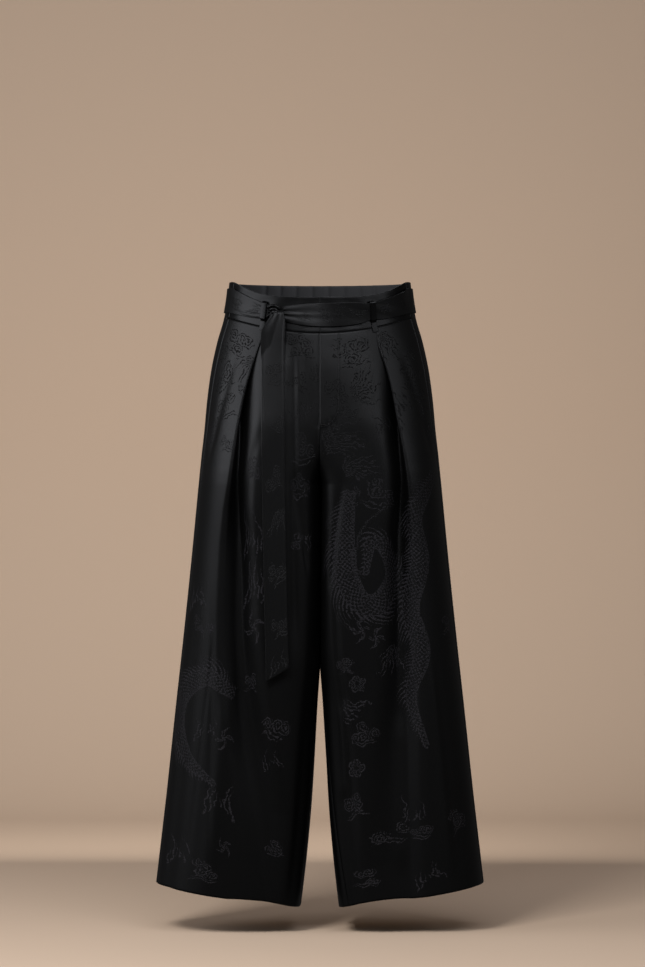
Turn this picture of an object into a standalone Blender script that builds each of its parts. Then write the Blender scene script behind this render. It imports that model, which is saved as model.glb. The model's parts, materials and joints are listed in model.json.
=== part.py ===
"""Wide-leg pleated trousers with a tied sash, in the hollow form that a wearer gives them.

Metres, +Z up. The front faces -Y and the wearer's left side is at +X.
The origin is the centre of the waist, halfway down the waistband at the side seams.
A drop is a distance below the waist's top edge at the sides. An angle goes round the waist
or a leg: 0 at the outside, positive round the front, negative round the back.
"""

import math
from collections import namedtuple

import bmesh
import bpy
from mathutils import Vector

# Driving dimensions
BAND_HEIGHT = 0.059
WAIST_DIP = 0.028  # the waist's front edge hangs lower than its sides
DIP_ENDS = 0.200  # rows of cloth are level from here down
CROTCH_DROP = 0.335
HEM_DROP = 1.030  # at the inseam
HEM_RISE = 0.037  # the hem is this much higher outside
PANEL_CLOTH = 0.0012
BAND_CLOTH = 0.0020
SASH_CLOTH = 0.0016
LOOP_CLOTH = 0.0012
SEAM_GAP = 0.0004
LAYER_GAP = 0.0004
SASH_GAP = 0.0009  # between the band and the sash
BAND_TOP = BAND_HEIGHT / 2

# The garment at each drop: its half width, how far it reaches forward and back, how far it
# has split into two legs (0 to 1), half the gap between the legs, and how square it is
# (2 is an ellipse).
Level = namedtuple("Level", "drop half_width front back split gap power")
LEVELS = [
    Level(0.000, 0.1505, 0.106, 0.106, 0.00, 0.0000, 2.00),
    Level(0.030, 0.1540, 0.107, 0.108, 0.00, 0.0000, 2.00),
    Level(0.060, 0.1595, 0.110, 0.113, 0.00, 0.0000, 2.00),
    Level(0.100, 0.1710, 0.116, 0.122, 0.00, 0.0000, 2.05),
    Level(0.150, 0.1815, 0.122, 0.133, 0.00, 0.0000, 2.10),
    Level(0.200, 0.1880, 0.125, 0.138, 0.00, 0.0000, 2.15),
    Level(0.245, 0.1920, 0.127, 0.140, 0.14, 0.0000, 2.20),
    Level(0.285, 0.1965, 0.127, 0.139, 0.52, 0.0000, 2.25),
    Level(0.315, 0.1995, 0.127, 0.138, 0.88, 0.0000, 2.30),
    Level(0.335, 0.2015, 0.127, 0.137, 1.00, 0.0008, 2.30),
    Level(0.450, 0.2125, 0.124, 0.131, 1.00, 0.0008, 2.30),
    Level(0.600, 0.2280, 0.119, 0.122, 1.00, 0.0010, 2.30),
    Level(0.700, 0.2390, 0.115, 0.116, 1.00, 0.0058, 2.30),
    Level(0.850, 0.2550, 0.111, 0.109, 1.00, 0.0140, 2.25),
    Level(0.940, 0.2655, 0.109, 0.106, 1.00, 0.0215, 2.20),
    Level(1.030, 0.2760, 0.107, 0.103, 1.00, 0.0315, 2.20),
]

# Degrees round the leg: where the side seams run, and how far each inseam turns to the front
Seam = namedtuple("Seam", "drop side turn_right turn_left")
SEAMS = [
    Seam(0.000, 20, 0, 0),
    Seam(0.335, 17, 0, 0),
    Seam(0.654, 14, 20, 19),
    Seam(1.030, 11, 10, 40),
]

# The one deep pleat of each front: where its fold edge lies on the two sides, the degrees
# that the cloth turns through at each bend, the bends' radius, and the length between them
Pleat = namedtuple("Pleat", "drop fold_right fold_left turn radius between")
PLEATS = [
    Pleat(0.080, 0.0920, 0.0930, 180, 0.0011, 0.034),
    Pleat(0.106, 0.1000, 0.0965, 178, 0.0013, 0.033),
    Pleat(0.141, 0.1110, 0.1080, 171, 0.0018, 0.030),
    Pleat(0.179, 0.1220, 0.1180, 158, 0.0024, 0.026),
    Pleat(0.226, 0.1320, 0.1270, 142, 0.0032, 0.021),
    Pleat(0.266, 0.1385, 0.1350, 128, 0.0040, 0.018),
    Pleat(0.327, 0.1465, 0.1445, 110, 0.0058, 0.014),
    Pleat(0.385, 0.1525, 0.1550, 95, 0.0082, 0.012),
    Pleat(0.443, 0.1565, 0.1635, 80, 0.0115, 0.011),
    Pleat(0.540, 0.1600, 0.1725, 60, 0.0170, 0.010),
    Pleat(0.654, 0.1590, 0.1755, 44, 0.0250, 0.010),
    Pleat(0.760, 0.1560, 0.1760, 34, 0.0320, 0.012),
    Pleat(0.880, 0.1520, 0.1770, 26, 0.0400, 0.014),
    Pleat(1.030, 0.1480, 0.1780, 20, 0.0480, 0.015),
]
PLEAT_HOLLOW = 0.075  # the cloth rises again over this width towards the centre front

# Soft folds that hang in the legs: degrees round the leg at the waist and the hem, where each
# starts and is deepest, its width in degrees and its depth
Fold = namedtuple("Fold", "side angle_top angle_hem starts full width depth")
FOLDS = [
    Fold(-1, 148, 140, 0.42, 0.95, 13, 0.006),
    Fold(1, 136, 126, 0.45, 0.90, 14, 0.006),
    Fold(-1, 40, 36, 0.40, 0.80, 10, 0.003),
    Fold(-1, -52, -46, 0.16, 0.60, 12, 0.010),
    Fold(1, -47, -50, 0.18, 0.70, 13, 0.009),
    Fold(-1, -106, -98, 0.30, 0.75, 12, 0.011),
    Fold(1, -100, -103, 0.28, 0.80, 12, 0.012),
    Fold(-1, -146, -138, 0.50, 0.98, 12, 0.007),
    Fold(1, -142, -144, 0.48, 0.92, 12, 0.006),
]

# Gathers on the elastic at the back
GATHER_PITCH = 0.024
GATHERS_EACH_SIDE = 4
GATHER_DEPTH = 0.0028
GATHER_FADE = 0.110  # they run out this far below the waistband

# The drop of each row of a panel's points
ROW_DROPS = [
    BAND_HEIGHT + SEAM_GAP, 0.080, 0.105, 0.135, 0.170, 0.205, 0.240, 0.270, 0.293, 0.311,
    0.325, CROTCH_DROP, 0.355, 0.400, 0.460, 0.540, 0.640, 0.750, 0.880, HEM_DROP,
]

# Fly
FLY_WIDTH = 0.036
FLY_LENGTH = 0.184  # measured on the rows, which close up where they dip
FLY_ROUND = 0.030
FLY_GAP = 0.0008

# Belt loops
LOOP_WIDTH = 0.009
LOOP_PINCH_REACH = 0.016
Loop = namedtuple("Loop", "name x_top x_foot drop_top drop_foot at_back pinch")
LOOPS = [
    Loop("belt_loop_front_right", -0.0885, -0.0950, 0.0110, 0.0625, False, 0.00),
    Loop("belt_loop_front_left", 0.0820, 0.0905, 0.0095, 0.0635, False, 0.20),
    Loop("belt_loop_back_right", -0.1120, -0.1120, 0.0090, 0.0635, True, 0.20),
    Loop("belt_loop_back_left", 0.1120, 0.1120, 0.0090, 0.0635, True, 0.20),
]

# Sash, its knot and the end that hangs from it
SASH_WIDTH = 0.040
SASH_CENTRE = 0.030  # below the band's top edge
SASH_PINCH = 0.38  # share of its width that it loses at the knot
SASH_PINCH_REACH = 0.034
SASH_GATHER = 0.0018
KNOT_X = -0.0714
KNOT_CENTRE = 0.0260  # below the band's top edge
KNOT_SIZE = (0.0232, 0.0140, 0.0225)
Tail = namedtuple("Tail", "drop left right clear")
TAILS = [
    Tail(0.0620, -0.0765, -0.0580, 0.0078),
    Tail(0.0700, -0.0800, -0.0560, 0.0065),
    Tail(0.0800, -0.0885, -0.0550, 0.0050),
    Tail(0.0900, -0.0945, -0.0550, 0.0040),
    Tail(0.1050, -0.0962, -0.0558, 0.0030),
    Tail(0.1970, -0.0960, -0.0553, 0.0025),
    Tail(0.3600, -0.0940, -0.0545, 0.0025),
    Tail(0.5225, -0.0908, -0.0518, 0.0025),
    Tail(0.6450, -0.0882, -0.0488, 0.0025),
]
TAIL_SLANT = 0.0226  # its outer corner is this much longer

# Colours
BLACK_JACQUARD = (0.012, 0.012, 0.013, 1)
BLACK_SATIN = (0.009, 0.009, 0.010, 1)


def smooth(value):
    value = min(1.0, max(0.0, value))
    return value * value * (3 - 2 * value)


def read_table(table, column, drop):
    """A column's value at a drop, on a smooth curve through the table's rows."""
    rows = [(row.drop, getattr(row, column)) for row in table]
    if drop <= rows[0][0]:
        return rows[0][1]
    if drop >= rows[-1][0]:
        return rows[-1][1]
    slopes = [(b[1] - a[1]) / (b[0] - a[0]) for a, b in zip(rows, rows[1:])]
    tangents = [slopes[0]]
    for before, after in zip(slopes, slopes[1:]):
        steady = before * after > 0
        tangents.append(2 * before * after / (before + after) if steady else 0.0)
    tangents.append(slopes[-1])
    index = max(i for i in range(len(rows) - 1) if rows[i][0] <= drop)
    span = rows[index + 1][0] - rows[index][0]
    t = (drop - rows[index][0]) / span
    start = rows[index][1] * (2 * t**3 - 3 * t**2 + 1)
    end = rows[index + 1][1] * (3 * t**2 - 2 * t**3)
    bend = tangents[index] * (t**3 - 2 * t**2 + t) + tangents[index + 1] * (t**3 - t**2)
    return start + end + span * bend


def drop_at(nominal, angle):
    """A row's drop at an angle: rows dip in front at the waist and rise outside at the hem."""
    dip = WAIST_DIP * max(0.0, math.sin(angle)) ** 1.15
    rise = HEM_RISE * (1 + math.cos(angle)) / 2
    dip_share = 1 - smooth((nominal - BAND_HEIGHT - 0.001) / (DIP_ENDS - BAND_HEIGHT))
    rise_share = smooth((nominal - CROTCH_DROP) / (HEM_DROP - CROTCH_DROP))
    return nominal + dip * dip_share - rise * rise_share


def ring_point(side, angle, drop, inwards=0.0):
    """Point of the garment's outline at an angle and a drop, moved in from it."""
    half_width = read_table(LEVELS, "half_width", drop)
    gap = read_table(LEVELS, "gap", drop)
    power = read_table(LEVELS, "power", drop)
    front = read_table(LEVELS, "front", drop)
    back = read_table(LEVELS, "back", drop)
    wide = (half_width - gap) / (1 + read_table(LEVELS, "split", drop))
    deep = (front + back) / 2
    cosine = math.cos(angle)
    sine = math.sin(angle)
    x = half_width - wide + (wide - inwards) * math.copysign(abs(cosine) ** (2 / power), cosine)
    y = (back - front) / 2 - (deep - inwards) * math.copysign(abs(sine) ** (2 / power), sine)
    return Vector((side * x, y, BAND_TOP - drop))


def front_reach(x, drop):
    """How far the front stands forward of the origin at a distance from the centre."""
    half_width = read_table(LEVELS, "half_width", drop)
    power = read_table(LEVELS, "power", drop)
    front = read_table(LEVELS, "front", drop)
    back = read_table(LEVELS, "back", drop)
    wide = (half_width - read_table(LEVELS, "gap", drop)) / (1 + read_table(LEVELS, "split", drop))
    away = min(1.0, abs(abs(x) - (half_width - wide)) / wide)
    return (front - back) / 2 + (front + back) / 2 * (1 - away**power) ** (1 / power)


def fold_depth(side, angle, drop):
    """How far the soft folds push the cloth in."""
    depth = 0.0
    for fold in FOLDS:
        if fold.side == side:
            share = smooth((drop - fold.starts) / (fold.full - fold.starts))
            middle = fold.angle_top + (fold.angle_hem - fold.angle_top) * drop / HEM_DROP
            away = (math.degrees(angle) - middle + 180) % 360 - 180
            depth += fold.depth * share * math.exp(-((away / fold.width) ** 2))
    return depth


def gather_depth(distance, drop):
    """How far the elastic's gathers push the cloth in, at a distance from the centre back."""
    reach = GATHER_PITCH * GATHERS_EACH_SIDE
    if distance > reach:
        return 0.0
    fade = 1 - smooth((drop - BAND_HEIGHT) / GATHER_FADE)
    return GATHER_DEPTH * fade * (1 - math.cos(2 * math.pi * distance / GATHER_PITCH)) / 2


def seam_angles(side, nominal, front):
    """The angles between which a panel's row runs: its inner seam, and its side seam."""
    side_seam = math.radians(read_table(SEAMS, "side", nominal))
    turn = math.radians(read_table(SEAMS, "turn_left" if side > 0 else "turn_right", nominal))
    if nominal >= CROTCH_DROP:
        return (math.pi - turn if front else -math.pi - turn), side_seam
    sign = 1 if front else -1
    low = math.pi / 2 - 0.3
    high = math.pi
    for _ in range(40):
        middle = (low + high) / 2
        step = 0.004
        before = ring_point(1, sign * (middle - step), drop_at(nominal, sign * middle), PANEL_CLOTH / 2)
        after = ring_point(1, sign * (middle + step), drop_at(nominal, sign * middle), PANEL_CLOTH / 2)
        ahead = (after - before).normalized()
        needed = SEAM_GAP / 2 + abs(ahead.y) * PANEL_CLOTH / 2
        if (before.x + after.x) / 2 > needed:
            low = middle
        else:
            high = middle
    return sign * low, side_seam


class Row:
    """A row of a panel from its inner seam to its side seam, measured along the cloth."""

    STEPS = 160

    def __init__(self, side, nominal, front):
        first, last = seam_angles(side, nominal, front)
        self.side = side
        self.outward = 1 if (side > 0) == front else -1
        self.angles = [first + (last - first) * i / self.STEPS for i in range(self.STEPS + 1)]
        self.points = [ring_point(side, a, drop_at(nominal, a), PANEL_CLOTH / 2) for a in self.angles]
        self.along = [0.0]
        for before, after in zip(self.points, self.points[1:]):
            self.along.append(self.along[-1] + (after - before).length)
        self.length = self.along[-1]
        self.start = SEAM_GAP / 2 if nominal >= CROTCH_DROP else 0.0
        self.end = self.length - SEAM_GAP / 2

    def place(self, along):
        index = min(sum(1 for value in self.along[1:] if value <= along), self.STEPS - 1)
        share = (along - self.along[index]) / (self.along[index + 1] - self.along[index])
        return index, share

    def angle(self, along):
        index, share = self.place(along)
        return self.angles[index] + (self.angles[index + 1] - self.angles[index]) * share

    def point(self, along, inwards=0.0):
        index, share = self.place(along)
        ahead = self.points[min(index + 2, self.STEPS)] - self.points[max(index - 1, 0)]
        out = Vector((ahead.y, -ahead.x, 0)).normalized() * self.outward
        return self.points[index].lerp(self.points[index + 1], share) - out * inwards

    def along_at_x(self, x):
        """Distance along the front to a given distance from the centre."""
        for index in range(self.STEPS - 1, -1, -1):
            low = self.points[index].x * self.side
            high = self.points[index + 1].x * self.side
            if low <= x < high:
                share = (x - low) / (high - low)
                return self.along[index] + (self.along[index + 1] - self.along[index]) * share
        return self.length


def pleat_path(row, inner_steps=8, bend_steps=4, between_steps=3, outer_steps=6):
    """The front's path with its pleat, as pairs of distance along and distance in.

    From the centre it runs in under the outer part, doubles back to the fold edge and
    goes on to the side seam. Lower down it turns through less and opens into a valley.
    """
    drop = BAND_TOP - row.point(row.length * 0.6).z
    fold = row.along_at_x(read_table(PLEATS, "fold_left" if row.side > 0 else "fold_right", drop))
    turn = math.radians(read_table(PLEATS, "turn", drop))
    radius = read_table(PLEATS, "radius", drop)
    between = read_table(PLEATS, "between", drop)
    recess = 2 * radius * (1 - math.cos(turn)) + between * math.sin(turn)
    end = fold + radius
    start = end - 2 * radius * math.sin(turn) - between * math.cos(turn)
    path = []
    for step in range(inner_steps):
        along = row.start + (start - row.start) * step / inner_steps
        path.append((along, recess * smooth((along - start + PLEAT_HOLLOW) / PLEAT_HOLLOW)))
    for step in range(bend_steps + 1):
        angle = turn * step / bend_steps
        path.append((start + radius * math.sin(angle), recess - radius * (1 - math.cos(angle))))
    first = path[-1]
    last = (end - radius * math.sin(turn), radius * (1 - math.cos(turn)))
    for step in range(1, between_steps):
        share = step / between_steps
        path.append((first[0] + (last[0] - first[0]) * share, first[1] + (last[1] - first[1]) * share))
    for step in range(bend_steps, -1, -1):
        angle = turn * step / bend_steps
        path.append((end - radius * math.sin(angle), radius * (1 - math.cos(angle))))
    for step in range(1, outer_steps + 1):
        path.append((end + (row.end - end) * step / outer_steps, 0.0))
    return path


def front_rows(side):
    rows = []
    for nominal in ROW_DROPS:
        row = Row(side, nominal, True)
        points = []
        for along, inwards in pleat_path(row):
            drop = BAND_TOP - row.point(along).z
            points.append(row.point(along, inwards + fold_depth(side, row.angle(along), drop)))
        rows.append(points)
    return rows


def back_rows(side, plain_steps=6):
    rows = []
    gathered = GATHER_PITCH * GATHERS_EACH_SIDE
    gather_steps = 4 * GATHERS_EACH_SIDE
    for nominal in ROW_DROPS:
        row = Row(side, nominal, False)
        stretch = (row.end - row.start) / 0.185
        gathers_end = row.start + gathered * stretch
        places = [(row.start + gathered * stretch * i / gather_steps, gathered * i / gather_steps)
                  for i in range(gather_steps)]
        places += [(gathers_end + (row.end - gathers_end) * i / plain_steps, 1.0)
                   for i in range(plain_steps + 1)]
        points = []
        for along, distance in places:
            drop = BAND_TOP - row.point(along).z
            inwards = fold_depth(side, row.angle(along), drop) + gather_depth(distance, drop)
            points.append(row.point(along, inwards))
        rows.append(points)
    return rows


def new_material(name, colour, roughness):
    material = bpy.data.materials.new(name)
    material.use_nodes = True
    shader = material.node_tree.nodes["Principled BSDF"]
    shader.inputs["Base Color"].default_value = colour
    shader.inputs["Roughness"].default_value = roughness
    shader.inputs["Metallic"].default_value = 0.0
    material.diffuse_color = colour
    return material


def add_object(name, mesh, colour, roughness):
    mesh.materials.append(new_material(name + "_cloth", colour, roughness))
    mesh.shade_smooth()
    obj = bpy.data.objects.new(name, mesh)
    trousers.objects.link(obj)
    return obj


def add_wall(name, rows, thickness, colour, roughness):
    """A wall of cloth whose middle runs through rows of points."""
    columns = len(rows[0])
    faces = []
    for row in range(len(rows) - 1):
        for column in range(columns - 1):
            corner = row * columns + column
            faces.append((corner, corner + columns, corner + columns + 1, corner + 1))
    mesh = bpy.data.meshes.new(name)
    mesh.from_pydata([tuple(point) for row in rows for point in row], [], faces)
    wall = add_object(name, mesh, colour, roughness)
    cloth = wall.modifiers.new("cloth", "SOLIDIFY")
    cloth.thickness = thickness
    cloth.offset = 0
    return wall


def waist_angle(x, below, at_back=False):
    """Angle round the waist at a distance from the centre, positive x to the wearer's left."""
    half_width = read_table(LEVELS, "half_width", below + (0.0 if at_back else WAIST_DIP * 0.8))
    angle = math.acos(max(-1.0, min(1.0, x / half_width)))
    return -angle if at_back else angle


def waist_point(angle, below, out):
    """Point at a distance below the waist's top edge, moved out from the band's outer face."""
    step = 0.02
    here = ring_point(1, angle, drop_at(0, angle) + below)
    before = ring_point(1, angle - step, drop_at(0, angle - step) + below)
    after = ring_point(1, angle + step, drop_at(0, angle + step) + below)
    return here + Vector((before.y - after.y, after.x - before.x, 0)).normalized() * out


def waist_step(angle, distance):
    """The change of angle that moves a distance round the waist."""
    step = 0.01
    ahead = ring_point(1, angle + step, 0.02) - ring_point(1, angle - step, 0.02)
    return distance * 2 * step / ahead.length


def build_panels():
    for side, word in ((-1, "right"), (1, "left")):
        add_wall("front_panel_" + word, front_rows(side), PANEL_CLOTH, BLACK_JACQUARD, 0.38)
        add_wall("back_panel_" + word, back_rows(side), PANEL_CLOTH, BLACK_JACQUARD, 0.38)


def build_fly():
    """The fly's facing, inside the wearer's left front, which the curved stitching holds."""
    rows = []
    inwards = PANEL_CLOTH + FLY_GAP
    for step in range(13):
        length = FLY_LENGTH * math.sin(step / 12 * math.pi / 2) ** 0.9
        past = max(0.0, (length - FLY_LENGTH + FLY_ROUND) / FLY_ROUND)
        width = FLY_WIDTH * math.sqrt(max(0.04, 1 - past * past))
        row = Row(1, BAND_HEIGHT + SEAM_GAP + 0.0006 + length, True)
        rows.append([row.point(0.0004 + width * k / 4, inwards) for k in range(5)])
    add_wall("fly_facing", rows, PANEL_CLOTH, BLACK_JACQUARD, 0.38)


def build_waistbands():
    """A left and a right front that meet over the fly, and a back gathered on elastic."""
    seam = math.radians(read_table(SEAMS, "side", 0.03))
    centre_gap = waist_step(math.pi / 2, SEAM_GAP / 2)
    seam_gap = waist_step(seam, SEAM_GAP / 2)
    heights = [BAND_HEIGHT * step / 3 for step in range(4)]
    for side, word in ((-1, "right"), (1, "left")):
        first = math.pi / 2 - centre_gap
        last = seam + seam_gap
        rows = []
        for below in heights:
            row = [waist_point(first + (last - first) * i / 12, below, -BAND_CLOTH / 2) for i in range(13)]
            rows.append([Vector((side * p.x, p.y, p.z)) for p in row][::side])
        add_wall("waistband_front_" + word, rows, BAND_CLOTH, BLACK_JACQUARD, 0.38)
    gathered = GATHER_PITCH * GATHERS_EACH_SIDE
    gather_steps = 4 * GATHERS_EACH_SIDE
    angle = -math.pi / 2
    places = [(angle, 0.0)]
    for step in range(gather_steps):
        angle += waist_step(angle, gathered / gather_steps)
        places.append((angle, gathered * (step + 1) / gather_steps))
    for step in range(1, 8):
        places.append((angle + (seam - seam_gap - angle) * step / 7, 1.0))
    rows = []
    for below in heights:
        half = [waist_point(a, below, -BAND_CLOTH / 2 - gather_depth(d, 0)) for a, d in places]
        rows.append([Vector((-p.x, p.y, p.z)) for p in half[:0:-1]] + half)
    add_wall("waistband_back", rows, BAND_CLOTH, BLACK_JACQUARD, 0.38)


def turn_between(angle, other):
    return abs((angle - other + math.pi) % (2 * math.pi) - math.pi)


def sash_at(angle):
    """The sash's half height at an angle, and how hard the knot pulls it there (0 to 1)."""
    to_knot = turn_between(angle, waist_angle(KNOT_X, SASH_CENTRE)) * 0.145 - KNOT_SIZE[0] / 2
    pull = math.exp(-max(0.0, to_knot) / SASH_PINCH_REACH)
    half = SASH_WIDTH / 2 * (1 - SASH_PINCH * pull)
    for loop in LOOPS:
        away = turn_between(angle, waist_angle(loop.x_top, 0.02, loop.at_back)) * 0.13
        half *= 1 - loop.pinch * math.exp(-((away / LOOP_PINCH_REACH) ** 2))
    return half, pull


def build_sash():
    """The sash round the waist, from one side of its knot to the other."""
    clear = KNOT_SIZE[0] / 2 + LAYER_GAP
    first = waist_angle(KNOT_X + clear, SASH_CENTRE)
    last = waist_angle(KNOT_X - clear, SASH_CENTRE) - 2 * math.pi
    rows = []
    for step in range(57):
        share = step / 56
        angle = first + (last - first) * (0.15 * smooth(share) + 0.85 * share)
        half, pull = sash_at(angle)
        row = []
        for k in range(-3, 4):
            out = SASH_GAP + SASH_CLOTH / 2 + (SASH_GATHER * pull if k % 2 == 0 else 0.0)
            row.append(waist_point(angle, SASH_CENTRE + half * k / 3, out))
        rows.append(row)
    add_wall("sash_round_waist", rows, SASH_CLOTH, BLACK_SATIN, 0.30)


def build_loops():
    """Belt loops, each sewn on above and below the sash that it bridges."""
    near = LAYER_GAP + LOOP_CLOTH / 2
    for loop in LOOPS:
        angle_top = waist_angle(loop.x_top, 0.01, loop.at_back)
        angle_foot = waist_angle(loop.x_foot, 0.06, loop.at_back)
        half, pull = sash_at(angle_top)
        over = near + SASH_GAP + SASH_CLOTH + SASH_GATHER * pull + 0.0004
        top = SASH_CENTRE - half
        foot = SASH_CENTRE + half
        stations = (
            (loop.drop_top, near), (top - 0.0036, near), (top - 0.0010, over), (SASH_CENTRE - 0.006, over),
            (SASH_CENTRE + 0.006, over), (foot + 0.0010, over), (foot + 0.0036, near),
            ((foot + loop.drop_foot) / 2, near), (loop.drop_foot, near),
        )
        rows = []
        for below, out in stations:
            share = (below - loop.drop_top) / (loop.drop_foot - loop.drop_top)
            angle = angle_top + (angle_foot - angle_top) * share
            wide = waist_step(angle, LOOP_WIDTH / 2)
            rows.append([waist_point(angle + wide * k, below, out) for k in (1, 0, -1)])
        add_wall(loop.name, rows, LOOP_CLOTH, BLACK_JACQUARD, 0.38)


def build_knot():
    """The knot: a small roll of cloth wrapped over the crossing ends."""
    angle = waist_angle(KNOT_X, KNOT_CENTRE)
    centre = waist_point(angle, KNOT_CENTRE, LAYER_GAP + KNOT_SIZE[1] / 2)
    out = (centre - waist_point(angle, KNOT_CENTRE, 0)).normalized()
    turn = math.atan2(out.x, -out.y)
    model = bmesh.new()
    bmesh.ops.create_uvsphere(model, u_segments=20, v_segments=12, radius=1)
    for vert in model.verts:
        rounded = [math.copysign(abs(value) ** 0.75, value) for value in vert.co]
        ridge = 1 + 0.05 * math.cos(rounded[0] * 8)
        vert.co = Vector((
            rounded[0] * KNOT_SIZE[0] / 2 * (0.93 + 0.07 * abs(rounded[2])),
            rounded[1] * KNOT_SIZE[1] / 2 * ridge * 0.95,
            rounded[2] * KNOT_SIZE[2] / 2,
        ))
    mesh = bpy.data.meshes.new("sash_knot")
    model.to_mesh(mesh)
    model.free()
    knot = add_object("sash_knot", mesh, BLACK_SATIN, 0.30)
    knot.location = centre
    knot.rotation_euler = (0, 0, turn)


def build_tail():
    """The sash's free end, hanging from the knot in front of the wearer's right leg."""
    rows = []
    top = TAILS[0].drop
    length = TAILS[-1].drop - top
    reach = [0.0] * 7
    for step in range(25):
        share = (step / 24) ** 1.5
        row = []
        for k in range(7):
            across = k / 6
            drop = top + (length + TAIL_SLANT * (0.5 - across)) * share
            left = read_table(TAILS, "left", drop)
            x = left + (read_table(TAILS, "right", drop) - left) * across
            gather = 0.0010 * (k % 2) * (1 - smooth((drop - top) / 0.05))
            clear = read_table(TAILS, "clear", drop) + gather
            reach[k] = max(reach[k], front_reach(x, drop) + clear)
            row.append(Vector((x, -max(reach[k], front_reach(x, drop) + clear), BAND_TOP - drop)))
        rows.append(row)
    add_wall("sash_tail", rows, SASH_CLOTH, BLACK_SATIN, 0.30)


for old in list(bpy.data.objects):
    bpy.data.objects.remove(old)

trousers = bpy.data.collections.new("trousers")
bpy.context.scene.collection.children.link(trousers)
build_panels()
build_fly()
build_waistbands()
build_loops()
build_sash()
build_knot()
build_tail()
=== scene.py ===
# %% [markdown]
# # Wide-leg trousers in black satin jacquard, tied with a sash
# The trousers keep the hollow form that a wearer gives them. This lesson dresses the packed
# solids: each cloth piece is drawn again as a thin sheet on the same curves, with its folds,
# stitching and woven pattern, and the solids stay behind for collision.

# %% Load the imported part
import math
from collections import namedtuple
from functools import partial

import bpy
import numpy as np
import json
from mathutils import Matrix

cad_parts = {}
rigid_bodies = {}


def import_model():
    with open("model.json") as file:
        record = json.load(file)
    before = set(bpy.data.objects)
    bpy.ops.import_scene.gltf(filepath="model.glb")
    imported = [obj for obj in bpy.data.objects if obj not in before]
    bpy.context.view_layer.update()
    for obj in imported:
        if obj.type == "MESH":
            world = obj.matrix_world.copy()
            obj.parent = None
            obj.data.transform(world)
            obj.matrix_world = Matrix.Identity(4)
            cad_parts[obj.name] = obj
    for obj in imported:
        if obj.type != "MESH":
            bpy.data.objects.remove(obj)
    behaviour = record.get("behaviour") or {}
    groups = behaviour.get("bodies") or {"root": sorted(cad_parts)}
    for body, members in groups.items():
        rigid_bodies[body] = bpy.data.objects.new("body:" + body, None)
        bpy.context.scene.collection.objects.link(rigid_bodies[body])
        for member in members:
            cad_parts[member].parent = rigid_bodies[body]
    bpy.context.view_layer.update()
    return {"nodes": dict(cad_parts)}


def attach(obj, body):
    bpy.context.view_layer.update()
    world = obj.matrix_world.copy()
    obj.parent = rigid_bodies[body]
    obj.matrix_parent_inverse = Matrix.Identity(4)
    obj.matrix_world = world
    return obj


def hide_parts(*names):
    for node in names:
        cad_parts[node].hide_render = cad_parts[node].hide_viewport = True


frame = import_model()
print("nodes:", ", ".join(sorted(frame["nodes"])))

# %% [markdown]
# Colours are written as the hex values that a picture editor shows, and Blender's sockets
# want linear light, so one function turns the one into the other. A second adds a node
# with its settings and links. A term stands for a socket, so that a pattern is written as
# ordinary arithmetic and comes out as Math nodes.


# %% Colour and node helpers
def linear(code):
    """An sRGB hex colour as linear red, green, blue and alpha."""
    channels = [int(code[i:i + 2], 16) / 255 for i in (1, 3, 5)]
    return [c / 12.92 if c <= 0.04045 else ((c + 0.055) / 1.055) ** 2.4 for c in channels] + [1.0]


def add_node(tree, kind, inputs=(), **settings):
    """A node with its settings, and its inputs by name or in order: a socket is linked, a value is set."""
    node = tree.nodes.new(kind)
    for key, value in settings.items():
        setattr(node, key, value)
    for key, value in inputs.items() if isinstance(inputs, dict) else enumerate(inputs):
        value = value.socket if isinstance(value, Term) else value
        if isinstance(value, bpy.types.NodeSocket):
            tree.links.new(value, node.inputs[key])
        else:
            node.inputs[key].default_value = value
    return node


def math_node(operation, *parts):
    """A Math node on terms and numbers, as a new term."""
    tree = next(part.socket.id_data for part in parts if isinstance(part, Term))
    return Term(add_node(tree, "ShaderNodeMath", parts, operation=operation).outputs[0])


class Term:
    """A socket to write formulas with: each step of arithmetic on it adds a Math node."""

    def __init__(self, socket):
        self.socket = socket

    __add__ = __radd__ = lambda self, other: math_node("ADD", self, other)
    __mul__ = __rmul__ = lambda self, other: math_node("MULTIPLY", self, other)
    __sub__ = lambda self, other: math_node("SUBTRACT", self, other)
    __rsub__ = lambda self, other: math_node("SUBTRACT", other, self)
    __truediv__ = lambda self, other: math_node("DIVIDE", self, other)
    __lt__ = lambda self, other: math_node("LESS_THAN", self, other)
    __gt__ = lambda self, other: math_node("GREATER_THAN", self, other)
    __abs__ = lambda self: math_node("ABSOLUTE", self)


sine, cosine, fraction, floor, root, larger, smaller, bearing = (
    partial(math_node, operation)
    for operation in ("SINE", "COSINE", "FRACT", "FLOOR", "SQRT", "MAXIMUM", "MINIMUM", "ARCTAN2"))


def clamped(term):
    """A term kept between 0 and 1."""
    return Term(add_node(term.socket.id_data, "ShaderNodeClamp", [term]).outputs[0])


def axes(vector):
    """The x, y and z of a vector's socket, as terms."""
    return [Term(socket) for socket in add_node(vector.id_data, "ShaderNodeSeparateXYZ", [vector]).outputs]


def principled(name, colour, roughness, specular=0.5):
    """A material of one finish, with its tree and its shader."""
    material = bpy.data.materials.new(name)
    material.use_nodes = True
    tree = material.node_tree
    shader = tree.nodes["Principled BSDF"]
    for socket, value in (("Base Color", linear(colour)), ("Roughness", roughness), ("IOR", 1.50),
                          ("Specular IOR Level", specular)):
        shader.inputs[socket].default_value = value
    return material, tree, shader


def add_object(name, data):
    """A mesh, a light or a camera placed in the scene."""
    made = bpy.data.objects.new(name, data)
    bpy.context.scene.collection.objects.link(made)
    return made


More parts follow.
